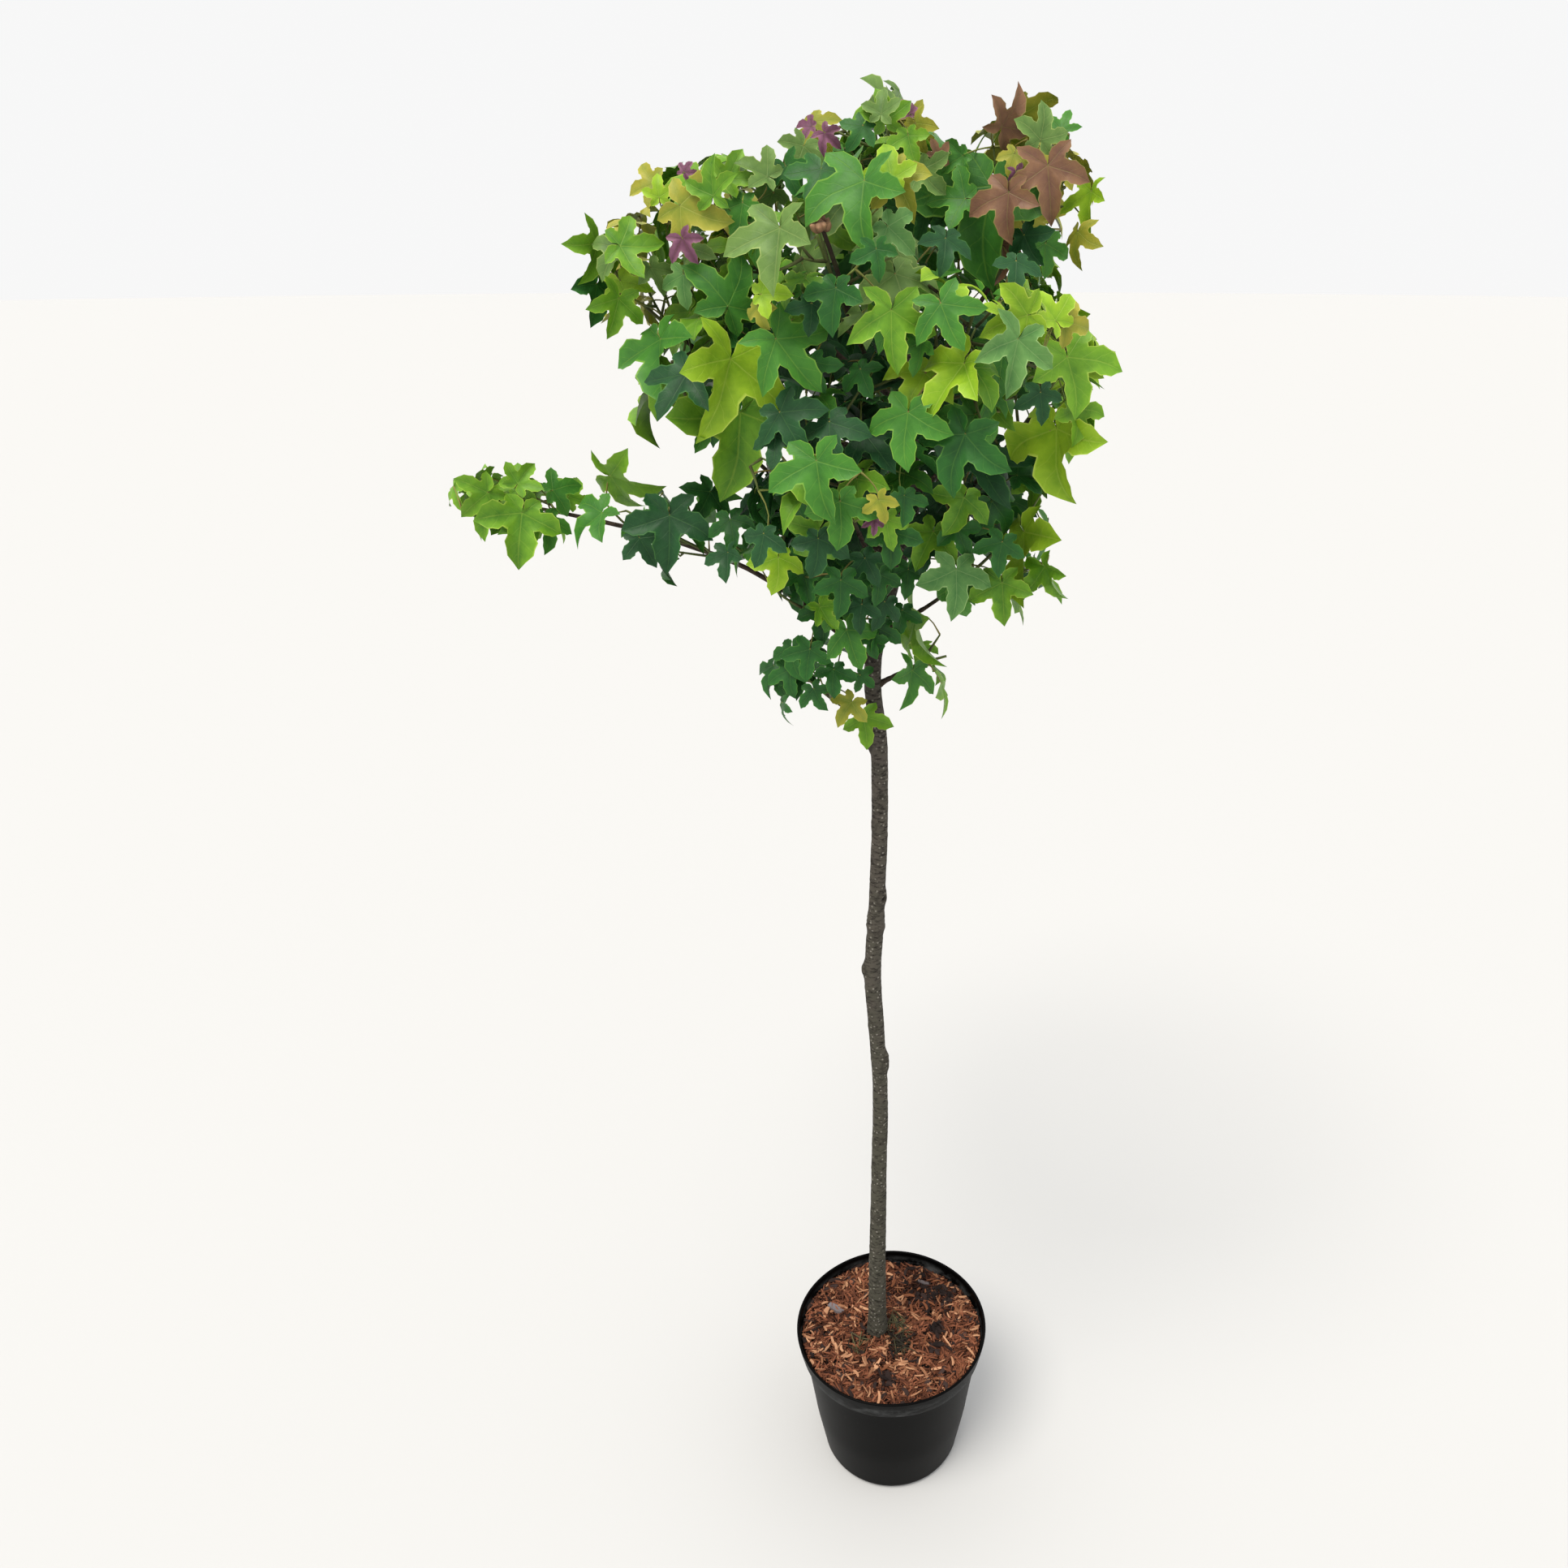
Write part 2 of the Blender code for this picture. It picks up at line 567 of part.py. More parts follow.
def build_long_bough(stems):
    """The long low bough on the left, and the stems of the two masses that it bears."""
    level = np.array((-1.0, 0.0, 0.0))
    trunk_along = unit(trunk_centre(LONG_BOUGH_FORK + 0.005) - trunk_centre(LONG_BOUGH_FORK - 0.005))
    radial = unit(level - trunk_along * np.dot(level, trunk_along))
    start = trunk_centre(LONG_BOUGH_FORK) + radial * (trunk_reach(LONG_BOUGH_FORK, radial) + GAP)
    course = [start] + [np.array(point) for point in LONG_BOUGH_COURSE]
    smooth = []
    for index in range(len(course) - 1):
        before = course[max(index - 1, 0)]
        after = course[min(index + 2, len(course) - 1)]
        for share in (0.0, 0.5):
            middle = 0.5 * (course[index] + course[index + 1])
            lift = 0.0625 * (course[index] + course[index + 1] - before - after)
            smooth.append(course[index] if share == 0.0 else middle + lift)
    smooth.append(course[-1])
    thick, thin = LONG_BOUGH_DIAMETERS
    tree = build_bough("bough_long_left", smooth, thick, thin, radial)
    along = unit(smooth[-1] - smooth[-2])
    tip_centre = np.array(MASSES["long_tip"][0])
    far = tip_centre + np.array(LONG_TIP_REACH)
    stems["long_tip"] = (smooth[-1] + along * GAP, 0.5 * (smooth[-1] + far), far, along)
    spot = LONG_SIDE_SHOOT * (len(smooth) - 1)
    index = int(spot)
    carrier = smooth[index] + (spot - index) * (smooth[index + 1] - smooth[index])
    carrier_along = unit(smooth[index + 1] - smooth[index])
    heading = np.array(LONG_SIDE_HEADING)
    sideways = unit(heading - carrier_along * np.dot(heading, carrier_along))
    shoot = carrier + sideways * (bough_radius(thick, thin, LONG_SIDE_SHOOT) + 2.0 * GAP)
    bend = shoot + LONG_SIDE_OUT * sideways + np.array(LONG_SIDE_BEND)
    end = np.array(MASSES["long_middle"][0]) + np.array(LONG_SIDE_REACH)
    stems["long_middle"] = (shoot, bend, end, sideways)
    return tree


def leaf_solid(site, out, midrib, normal, length, stalk):
    """One leaf on its stalk, closed: a star of lobes that thins from its middle to its edge.

    The outline is worked out in the plane of the midrib and the side vector, and each point sags below
    that plane by the square of its distance from the leaf's foot. The stalk is a flat-sided taper from the
    leaf's foot to the site, where its end is sunk in the twig.
    """
    side = np.cross(normal, midrib)
    foot = site + out * stalk

    def place(angle, reach):
        turn = math.radians(angle)
        flat = midrib * math.cos(turn) + side * math.sin(turn)
        return foot + length * (reach * flat - LEAF_DROOP * reach**2 * normal)

    left = [place(*NOTCHES[0]), place(*LOBES[1]), place(*NOTCHES[1]), place(*LOBES[2])]
    right = [place(-LOBES[2][0], LOBES[2][1]), place(-NOTCHES[1][0], NOTCHES[1][1])]
    right += [place(-LOBES[1][0], LOBES[1][1]), place(-NOTCHES[0][0], NOTCHES[0][1])]
    foot_left = foot + 0.5 * STALK_DIAMETER * side - STALK_SPREAD * length * midrib
    foot_right = foot - 0.5 * STALK_DIAMETER * side - STALK_SPREAD * length * midrib
    outline = [foot_right] + right + [place(*LOBES[0])] + left + [foot_left]
    over_foot = foot + LEAF_CREST * length * midrib + 0.25 * LEAF_THICKNESS * normal
    under_foot = foot + STALK_SPREAD * length * midrib - 0.75 * LEAF_THICKNESS * normal
    vanishing = foot - out * stalk / (1.0 - STALK_TAPER)
    ends = [vanishing + STALK_TAPER * (corner - vanishing) for corner in (foot_left, foot_right, under_foot)]
    points = outline + [over_foot, under_foot] + ends
    last = len(outline) - 1
    over, under, end_left, end_right, end_low = range(last + 1, last + 6)
    faces = [(over, index, index + 1) for index in range(last)]
    faces += [(under, index + 1, index) for index in range(last)]
    faces += [(over, last, 0), (0, last, end_left, end_right), (last, under, end_low, end_left)]
    faces += [(under, 0, end_right, end_low), (end_right, end_left, end_low)]
    return points, faces


def turned_about(vector, axis, angle):
    """A vector turned about a unit axis by an angle in degrees."""
    turn = math.radians(angle)
    cross = np.cross(axis, vector)
    along_axis = axis * np.dot(axis, vector) * (1.0 - math.cos(turn))
    return vector * math.cos(turn) + cross * math.sin(turn) + along_axis


def leaning(along, side, face, swing, lean):
    """A direction that leaves the middle of one face of a three-sided twig, swung round it a little."""
    across = turned_about(side, along, 60.0 + 120.0 * face + swing)
    return unit(along * math.cos(math.radians(lean)) + across * math.sin(math.radians(lean)))


def along_course(course, share):
    """The point at a share of a course's pieces, with the direction and the side vector there."""
    spot = share * (len(course) - 1)
    whole = min(int(spot), len(course) - 2)
    step = np.asarray(course[whole + 1]) - np.asarray(course[whole])
    along = unit(step)
    side = carried_frames(course)[whole][1]
    side = unit(side - along * np.dot(side, along))
    return course[whole] + (spot - whole) * step, along, side


class Mass:
    """The twigs and leaves of one mass as they are placed, each tested before it is kept."""

    def __init__(self, name, stem, limb_trees):
        self.name = name
        self.centre = np.array(MASSES[name][0])
        self.leaf_length = MASSES[name][4]
        self.rng = random.Random(sum(ord(letter) * (place + 1) for place, letter in enumerate(name)))
        self.stem = stem
        self.limb_trees = limb_trees
        self.solids = []
        self.blade_trees = []
        self.twigs = []
        self.twig_trees = []

    def grow_stem(self):
        start, bend, end, normal = self.stem
        course = [bezier(start, bend, end, share) for share in STEM_SHARES]
        thick, thin = STEM_DIAMETERS
        radii = [0.5 * (thick + (thin - thick) * share) for share in STEM_SHARES]
        self.keep_twig(course, tube(course, radii, 3, first_normal=normal))

    def keep_twig(self, course, solid):
        self.solids.append(solid)
        self.twigs.append(course)
        self.twig_trees.append(search_tree(*tube(course, [TWIG_CLEAR_RADIUS] * len(course), 3)))

    def grow_twigs(self, count):
        """Twigs leave the stem's three faces in turn, each as long as its space allows."""
        lowest, highest = TWIG_SHARES
        for index in range(count):
            share = lowest + (highest - lowest) * index / (count - 1)
            foot, along, side = along_course(self.twigs[0], share)
            for attempt in range(TWIG_TRIES):
                swing = self.rng.uniform(-FACE_SWING, FACE_SWING)
                lean = TWIG_LEAN + self.rng.uniform(-TWIG_LEAN_SPREAD, TWIG_LEAN_SPREAD)
                course = self.twig_course(foot, leaning(along, side, index + attempt, swing, lean))
                if course is not None:
                    self.keep_twig(course, tube(course, [0.5 * width for width in TWIG_DIAMETERS], 3))
                    break

    def twig_course(self, foot, heading):
        """A twig, cut back until it keeps to the space and misses the rest, or None."""
        for length in TWIG_LENGTHS:
            end = foot + length * heading
            if not inside_space(end, self.name, TWIG_END_DEPTH):
                continue
            clear = foot + TWIG_CLEAR_START * heading
            tree = search_tree(*tube((clear, end), (TWIG_CLEAR_RADIUS, TWIG_CLEAR_RADIUS), 3))
            if not any(tree.overlap(other) for other in self.limb_trees + self.twig_trees[1:]):
                return (foot, end)
        return None

    def leaf_sites(self):
        """Places for leaves: at each twig's tip, then down the twigs in turn, tips first."""
        sites = []
        for share in LEAF_SITE_SHARES:
            for number in range(len(self.twigs)):
                if number > 0 or share > STEM_SITE_LOWEST:
                    sites.append((number, share))
        return sites

    def grow_leaves(self, count):
        """Leaves at the sites in turn, until there are enough; a leaf that finds no room is skipped."""
        placed = 0
        for number, share in self.leaf_sites():
            if placed < count and self.place_leaf(number, share):
                placed += 1

    def place_leaf(self, number, share):
        """Tries leaves that face up and outward and hang from their stalks, until one has room."""
        place, along, side = along_course(self.twigs[number], share)
        if share == 1.0:
            place = place - TIP_SINK * along
        first_face = self.rng.randrange(3)
        for attempt in range(LEAF_TRIES):
            shrink = 1.0 - LEAF_SHRINK * attempt / LEAF_TRIES
            length = self.leaf_length * self.rng.uniform(*LEAF_LENGTH_SPREAD) * shrink
            stalk = length * STALK_SHARE * self.rng.uniform(*STALK_LENGTH_SPREAD)
            leans = TIP_STALK_LEANS if share == 1.0 and attempt < TIP_TRIES else STALK_LEANS
            lean = self.rng.uniform(*leans)
            swing = self.rng.uniform(-FACE_SWING, FACE_SWING)
            out = leaning(along, side, first_face + attempt, swing, lean)
            away = self.outward(place + stalk * out)
            hang = math.radians(self.rng.uniform(*LEAF_HANG))
            heading = unit(away * math.cos(hang) + STALK_PULL * out - np.array((0.0, 0.0, math.sin(hang))))
            swing = self.rng.uniform(-LEAF_SWING, LEAF_SWING)
            heading = turned_about(heading, np.array((0.0, 0.0, 1.0)), swing)
            up = away * math.sin(hang) + np.array((0.0, 0.0, LEAF_LIFT + math.cos(hang)))
            normal = unit(up - heading * np.dot(up, heading))
            normal = turned_about(normal, heading, self.rng.uniform(-LEAF_ROLL, LEAF_ROLL))
            if np.dot(out, heading) < STALK_BACKWARD or np.dot(out, normal) < STALK_UNDER:
                continue
            points, faces = leaf_solid(place, out, heading, normal, length, stalk)
            if not inside_space(np.array(points), self.name) or crosses_itself(points, faces):
                continue
            if self.leaf_clear(place, out, heading, normal, length, stalk):
                self.solids.append((points, faces))
                return True
        return False

    def outward(self, point):
        """Away from the crown's axis, or from the heart of the mass on the long branch."""
        away = point - np.array((0.0, 0.0, self.centre[2] - CROWN_HEART_BELOW))
        if self.name.startswith("long"):
            away = point - (self.centre - np.array((0.0, 0.0, BRANCH_HEART_BELOW)))
        return unit(away * np.array(OUTWARD_WEIGHTS))

    def leaf_clear(self, place, out, heading, normal, length, stalk):
        """Whether a leaf misses the limbs, the twigs and the leaves that stand already."""
        start = place + STALK_CLEAR_START * out
        tree = search_tree(*leaf_solid(start, out, heading, normal, length, stalk - STALK_CLEAR_START))
        if any(tree.overlap(other) for other in self.limb_trees + self.twig_trees + self.blade_trees):
            return False
        self.blade_trees.append(tree)
        return True

    def add_bud_cluster(self):
        """Buds round the end of a bare shoot, one straight on and the rest to the sides, fused together."""
        carrier = self.twigs[0][2]
        tip = np.array(BUD_PLACE)
        middle = 0.5 * (carrier + tip) + np.array(BUD_SHOOT_BEND)
        course = (carrier, middle, tip)
        self.keep_twig(course, tube(course, BUD_SHOOT_RADII, 3))
        along = unit(tip - middle)
        side = carried_frames(course)[-1][1]
        headings = [along]
        for index in range(SIDE_BUDS):
            across = turned_about(side, along, 360.0 * index / SIDE_BUDS)
            headings.append(unit(SIDE_BUD_FORWARD * along + across))
        for heading in headings:
            self.solids.append(bud(tip + heading * BUD_LENGTH * BUD_STAND, heading))

    def join(self):
        """One union of everything in the mass, applied, with the parts then removed.

        The exact solver leaves open edges where the buds meet their shoot, so the manifold solver joins them.
        """
        stem = add_object("leaves_" + self.name, *self.solids[0], material=mass_material(self.name))
        parts = bpy.data.collections.new("parts_of_" + self.name)
        bpy.context.scene.collection.children.link(parts)
        for number, (points, faces) in enumerate(self.solids[1:]):
            part = add_object(self.name + "_part_" + str(number), points, faces)
            bpy.context.scene.collection.objects.unlink(part)
            parts.objects.link(part)
        union = stem.modifiers.new("join", "BOOLEAN")
        union.operation = "UNION"
        union.operand_type = "COLLECTION"
        union.collection = parts
        union.solver = "MANIFOLD"
        bpy.context.view_layer.objects.active = stem
        with bpy.context.temp_override(object=stem, active_object=stem, selected_objects=[stem]):
            bpy.ops.object.modifier_apply(modifier=union.name)
        for part in list(parts.objects):
            bpy.data.objects.remove(part, do_unlink=True)
        bpy.data.collections.remove(parts)


def bud(centre, along):
    """A plump bud: four corners round its waist, and one at either end."""
    helper = np.array((0.0, 0.0, 1.0)) if abs(along[2]) < 0.9 else np.array((1.0, 0.0, 0.0))
    side = unit(np.cross(along, helper))
    up = np.cross(side, along)
    radius, half = 0.5 * BUD_WIDTH, 0.5 * BUD_LENGTH
    points = [centre + radius * side, centre + radius * up, centre - radius * side, centre - radius * up]
    points += [centre + half * along, centre - half * along]
    faces = []
    for corner in range(4):
        following = (corner + 1) % 4
        faces.append((following, corner, 4))
        faces.append((corner, following, 5))
    return points, faces


def mass_material(name):
    if name in LIGHT_MASSES:
        return plain_material("leaf_light")
    if name in BRONZE_MASSES:
        return plain_material("leaf_bronze")
    if name in DEEP_MASSES:
        return plain_material("leaf_deep")
    return plain_material("leaf")


def main():
    clear_scene()
    build_pot()
    build_mulch()
    trunk_points, trunk_faces = build_trunk()
    limb_trees, stems = build_boughs()
    limb_trees.append(search_tree(trunk_points, trunk_faces))
    for name, (_, _, _, leaves, _) in MASSES.items():
        mass = Mass(name, stems[name], limb_trees)
        mass.grow_stem()
        mass.grow_twigs(max(FEWEST_TWIGS, round(leaves / LEAVES_PER_TWIG)))
        if name == BUD_MASS:
            mass.add_bud_cluster()
        mass.grow_leaves(leaves)
        mass.join()


main()
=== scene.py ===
"""A young sweetgum tree on a clear stem, in a black nursery pot filled with bark mulch.

Metres, +Z up. The origin is the centre of the pot's flat underside, and the side that shows most is -Y.
The trunk and boughs take a mesh with the bark's relief. Twigs branch inside each mass of leaves by the rule
that the solids follow, carried on to finer twigs, and every leaf hangs on its own stalk.
"""

import json
import math
import random
from collections import namedtuple
from functools import partial

import bpy
import numpy as np
from mathutils.bvhtree import BVHTree
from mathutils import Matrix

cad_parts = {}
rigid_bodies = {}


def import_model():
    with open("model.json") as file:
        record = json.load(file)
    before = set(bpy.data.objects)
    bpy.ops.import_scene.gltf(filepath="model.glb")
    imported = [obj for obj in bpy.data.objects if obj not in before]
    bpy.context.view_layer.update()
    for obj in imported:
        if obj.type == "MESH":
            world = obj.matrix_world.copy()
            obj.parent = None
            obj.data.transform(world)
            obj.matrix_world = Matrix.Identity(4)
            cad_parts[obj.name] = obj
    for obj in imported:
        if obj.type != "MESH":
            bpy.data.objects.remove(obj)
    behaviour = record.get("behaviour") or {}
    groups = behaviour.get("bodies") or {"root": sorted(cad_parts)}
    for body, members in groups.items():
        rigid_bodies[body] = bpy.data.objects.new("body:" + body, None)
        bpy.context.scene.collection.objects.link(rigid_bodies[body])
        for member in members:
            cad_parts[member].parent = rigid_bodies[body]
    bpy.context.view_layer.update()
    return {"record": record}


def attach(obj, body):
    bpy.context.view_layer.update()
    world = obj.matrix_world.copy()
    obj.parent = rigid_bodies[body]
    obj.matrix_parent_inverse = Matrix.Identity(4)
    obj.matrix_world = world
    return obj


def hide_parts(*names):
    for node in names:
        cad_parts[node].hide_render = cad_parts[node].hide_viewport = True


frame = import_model()

bl_info = {
    "name": "Potted sweetgum",
    "version": (1, 0, 0),
    "blender": (4, 5, 0),
    "location": "3D View > Sidebar > Sweetgum",
    "description": "Builds a young sweetgum tree in a nursery pot round its solid model",
    "category": "Object",
}

# Photograph: frame in pixels, and the camera fitted to the pot's rim and base
FRAME_WIDTH = 1932
CAMERA_PLACE = (-0.010, -1.271, 1.679)
CAMERA_TILT = 65.75
CAMERA_FOCUS = 1451.0
CAMERA_AXIS_COLUMN = 1090.0
SENSOR = 36.0
CAMERA_DOWN = math.radians(90.0 - CAMERA_TILT)
PICTURE_RIGHT = np.array((1.0, 0.0, 0.0))
PICTURE_UP = np.array((0.0, math.sin(CAMERA_DOWN), math.cos(CAMERA_DOWN)))
PICTURE_AHEAD = np.array((0.0, math.cos(CAMERA_DOWN), -math.sin(CAMERA_DOWN)))

# Pot
POT_HEIGHT = 0.226
POT_RIM_RADIUS = 0.140
POT_BASE_RADIUS = 0.101
POT_BAND_HEIGHT = 0.032
POT_BAND_STEP = 0.005
POT_WALL = 0.0022
POT_LIP = 0.0019
POT_FOOT_ROUND = 0.012
POT_SIDES = 160

# Mulch
MULCH_TOP = 0.212
MULCH_RADIUS = 0.1330
MULCH_CLEARING = 0.018
MULCH_SIDES = 96

# Damp, dark places on the mulch, and heaps of green-brown fibre: X, Y and radius
DAMP_PLACES = (
    (0.045, 0.090, 0.034),
    (0.068, 0.058, 0.020),
    (0.090, 0.070, 0.016),
    (-0.014, -0.090, 0.014),
    (0.010, -0.030, 0.020),
    (0.066, -0.033, 0.010),
    (0.069, 0.001, 0.010),
)
FIBRE_HEAPS = (
    (-0.048, -0.030, 0.016),
    (0.010, -0.012, 0.016),
    (0.006, 0.012, 0.012),
    (0.014, -0.034, 0.012),
)

# Single bits on top: X, Y, length, width, direction in degrees and shade
PALE_CHIPS = ((-0.0987, 0.0300, 0.019, 0.0075, 70.0, 0.75), (-0.0230, -0.0690, 0.014, 0.0065, 40.0, 1.0))
GREY_SCRAPS = ((-0.0840, 0.0390, 0.026, 0.012, 150.0, 0.6), (0.052, 0.094, 0.020, 0.006, 160.0, 0.3))

# A sliver: places along it as shares of its length, its width there, and the corners of its section
SLIVER_STATIONS = np.array((-0.5, -0.15, 0.2, 0.5))
SLIVER_TAPER = np.array((0.75, 1.0, 0.92, 0.62))
SLIVER_CORNERS = np.array(((-0.5, -0.18), (0.5, -0.18), (0.5, 0.18), (-0.5, 0.18)))

# Trunk: height, centre in X and Y, diameter
TRUNK_FOOT = 0.2123
TRUNK_COURSE = np.array(
    (
        (TRUNK_FOOT, -0.0210, 0.000, 0.0320),
        (0.245, -0.0210, 0.000, 0.0265),
        (0.340, -0.0205, 0.000, 0.0245),
        (0.500, -0.0180, 0.001, 0.0215),
        (0.674, -0.0165, 0.001, 0.0200),
        (0.760, -0.0210, 0.000, 0.0205),
        (0.840, -0.0250, -0.001, 0.0215),
        (0.930, -0.0205, 0.000, 0.0198),
        (1.070, -0.0158, 0.002, 0.0195),
        (1.160, -0.0170, 0.002, 0.0200),
        (1.250, -0.0235, 0.001, 0.0190),
        (1.333, -0.0060, 0.004, 0.0180),
        (1.418, 0.0190, 0.006, 0.0140),
        (1.500, 0.0200, 0.008, 0.0115),
        (1.600, 0.0110, 0.004, 0.0090),
        (1.700, -0.0060, 0.000, 0.0060),
    )
)
TRUNK_RINGS = 520
TRUNK_SIDES = 44
ROOT_FLARE = 0.022
SCAR_SPACING = 0.047

# Knots: height, direction in degrees from +X, how far it stands out, half height, half angle, hollow, which
# also sets how dark the painted shade in it is
KNOTS = (
    (0.440, 268.0, 0.0012, 0.0060, 26.0, 0.9),
    (0.578, 262.0, 0.0014, 0.0050, 30.0, 0.5),
    (0.701, 330.0, 0.0062, 0.0105, 34.0, 0.6),
    (0.716, 340.0, 0.0040, 0.0060, 26.0, 0.4),
    (0.764, 240.0, 0.0014, 0.0060, 30.0, 0.6),
    (0.849, 180.0, 0.0045, 0.0080, 36.0, 0.2),
    (0.914, 270.0, 0.0026, 0.0045, 150.0, 0.0),
    (0.926, 262.0, 0.0020, 0.0040, 120.0, 0.0),
    (0.908, 315.0, 0.0030, 0.0050, 24.0, 0.4),
    (0.955, 312.0, 0.0060, 0.0090, 36.0, 1.1),
    (1.052, 215.0, 0.0014, 0.0050, 28.0, 0.7),
    (1.092, 275.0, 0.0008, 0.0035, 18.0, 1.0),
    (1.158, 185.0, 0.0070, 0.0080, 34.0, 0.2),
    (1.262, 262.0, 0.0016, 0.0060, 34.0, 1.0),
    (1.250, 275.0, 0.0010, 0.0040, 26.0, 0.9),
)

# Boughs: the thickening is the diameter gained for each metre of length. The bend of a bough lies below the
# middle of its reach by the sag, or above it by the arch where the bough hardly climbs.
BOUGH_SIDES = 14
BOUGH_RINGS = 40
BOUGH_TIP_DIAMETER = 0.0045
BOUGH_THICKENING = 0.013
BOUGH_SHORTEST = 0.030
BOUGH_SAG = 0.14
BOUGH_ARCH = 0.08
STEM_REACH = 0.62
STEM_RISE = 0.75
STEM_RINGS = 14
LONG_BOUGH_FORK = 1.262
LONG_BOUGH_COURSE = (
    (-0.070, 0.002, 1.300),
    (-0.152, 0.000, 1.365),
    (-0.264, 0.000, 1.405),
    (-0.350, 0.000, 1.424),
)
LONG_BOUGH_DIAMETERS = (0.0075, 0.0042)

# Twigs and leaves: lengths tried for a twig, and for a finer one, until its end keeps to the mass, and the
# shares of a twig's length at which leaves are tried, in their order
TWIG_LENGTHS = (0.105, 0.088, 0.070, 0.055, 0.040)
FINE_TWIG_LENGTHS = (0.050, 0.040, 0.030, 0.022)
LEAF_SHARES = (1.0, 0.80, 0.58, 0.90, 0.38, 0.68, 0.48, 0.28, 0.95, 0.73, 0.53, 0.33)
TWIG_RINGS = 8
LONGEST_STALK = 0.055
STALK_ON_NEW_TWIG = 0.042
GOLDEN_ANGLE = math.radians(137.5)
LOBE_STEPS = 6
LOBE_TOOTH = 0.07
STALK_RINGS = 5

# How far past its mass's ellipsoid each may reach, below zero where it stays inside
LEAF_ALLOWANCE = 0.003
TWIG_ALLOWANCE = -0.010
BOUGH_ALLOWANCE = -0.004

# How near another leaf is tested, how many of the roomiest candidates are tried, and how far the leaves of
# the table move out or in, as shares of the mass, until they cut no other
NEIGHBOUR_REACH = 0.16
CHOICES = 7
LAYER_SHIFTS = (0.0, 0.05, -0.05, -0.10, 0.10, -0.16, -0.22, -0.30)

# Masses of leaves: centre, half sizes, fork height, leaves in the solid, how full, leaf length,
# and the leaves' tints from inside to outside. The dark tints inside and in the low masses are partly
# the older leaves' own green and partly painted shade
Mass = namedtuple("Mass", "centre half fork count fullness leaf_length tints")
MASSES = {
    "top": Mass(
        (-0.010, 0.000, 1.756), (0.089, 0.094, 0.073), 1.700, 18, 1.00, 0.056,
        "deep shade olive mid fresh gold olive",
    ),
    "upper_left": Mass(
        (-0.143, -0.014, 1.699), (0.107, 0.105, 0.091), 1.535, 20, 1.00, 0.060,
        "deep shade olive fresh mid olive gold fresh",
    ),
    "far_left": Mass(
        (-0.255, -0.019, 1.647), (0.071, 0.089, 0.098), 1.470, 16, 0.90, 0.054,
        "deep shade olive fresh olive gold",
    ),
    "left": Mass(
        (-0.179, -0.066, 1.552), (0.100, 0.102, 0.100), 1.375, 20, 1.10, 0.065,
        "deep deep shade mid fresh",
    ),
    "front_upper": Mass(
        (-0.048, -0.143, 1.659), (0.098, 0.093, 0.093), 1.515, 20, 1.10, 0.065,
        "deep shade mid olive fresh olive",
    ),
    "front_low": Mass(
        (-0.052, -0.136, 1.508), (0.115, 0.098, 0.102), 1.345, 21, 1.15, 0.067,
        "deep deep shade mid fresh",
    ),
    "upper_right": Mass(
        (0.114, -0.005, 1.730), (0.093, 0.102, 0.100), 1.555, 20, 0.85, 0.060,
        "deep shade mid olive fresh bronze olive gold",
    ),
    # its lime leaves are partly the painted glow of leaves lit through from behind
    "right": Mass(
        (0.131, -0.056, 1.562), (0.098, 0.104, 0.107), 1.400, 21, 1.00, 0.065,
        "deep shade mid fresh lime fresh lime",
    ),
    "right_low": Mass(
        (0.099, -0.033, 1.404), (0.098, 0.098, 0.109), 1.300, 20, 1.00, 0.058,
        "deep shade shade mid mid fresh",
    ),
    "middle_right": Mass(
        (0.058, -0.147, 1.609), (0.093, 0.098, 0.104), 1.490, 16, 1.20, 0.060,
        "deep shade mid mid fresh lime",
    ),
    "low_centre": Mass(
        (-0.088, -0.047, 1.395), (0.102, 0.102, 0.100), 1.285, 18, 1.15, 0.056,
        "deep deep shade shade mid",
    ),
    "long_tip": Mass(
        (-0.409, 0.000, 1.425), (0.068, 0.062, 0.062), 0.000, 12, 0.75, 0.048,
        "mid fresh fresh",
    ),
    "long_middle": Mass(
        (-0.237, 0.000, 1.412), (0.094, 0.064, 0.068), 0.000, 14, 0.60, 0.053,
        "deep shade mid",
    ),
    "low_left": Mass(
        (-0.090, -0.020, 1.252), (0.066, 0.062, 0.074), 1.190, 13, 0.40, 0.054,
        "deep deep shade shade",
    ),
    "low_right": Mass(
        (0.040, 0.000, 1.250), (0.040, 0.055, 0.074), 1.232, 8, 0.45, 0.044,
        "shade mid fresh",
    ),
    "back_top": Mass(
        (0.013, 0.118, 1.698), (0.122, 0.102, 0.093), 1.575, 20, 1.25, 0.063,
        "deep shade mid fresh",
    ),
    "back_left": Mass(
        (-0.136, 0.103, 1.583), (0.115, 0.109, 0.109), 1.420, 21, 1.25, 0.065,
        "deep shade mid fresh",
    ),
    "back_right": Mass(
        (0.131, 0.109, 1.579), (0.109, 0.105, 0.109), 1.445, 21, 1.25, 0.065,
        "deep shade mid mid fresh lime",
    ),
    "back_middle": Mass(
        (-0.006, 0.156, 1.546), (0.093, 0.089, 0.100), 1.460, 18, 1.25, 0.063,
        "deep shade mid fresh",
    ),
    "back_low": Mass(
        (-0.010, 0.109, 1.413), (0.115, 0.100, 0.098), 1.325, 20, 1.25, 0.060,
        "deep deep shade mid",
    ),
}
CROWN_CENTRE = np.array((-0.010, 0.000, 1.555))
CROWN_HALVES = np.array((0.245, 0.245, 0.290))

# Y that the leaves of the table keep behind, as far as their layers allow
FRONT_LIMIT = -0.2580

# Bud cluster at the end of a bare shoot
BUD_PLACE = np.array((-0.062, -0.205, 1.700))

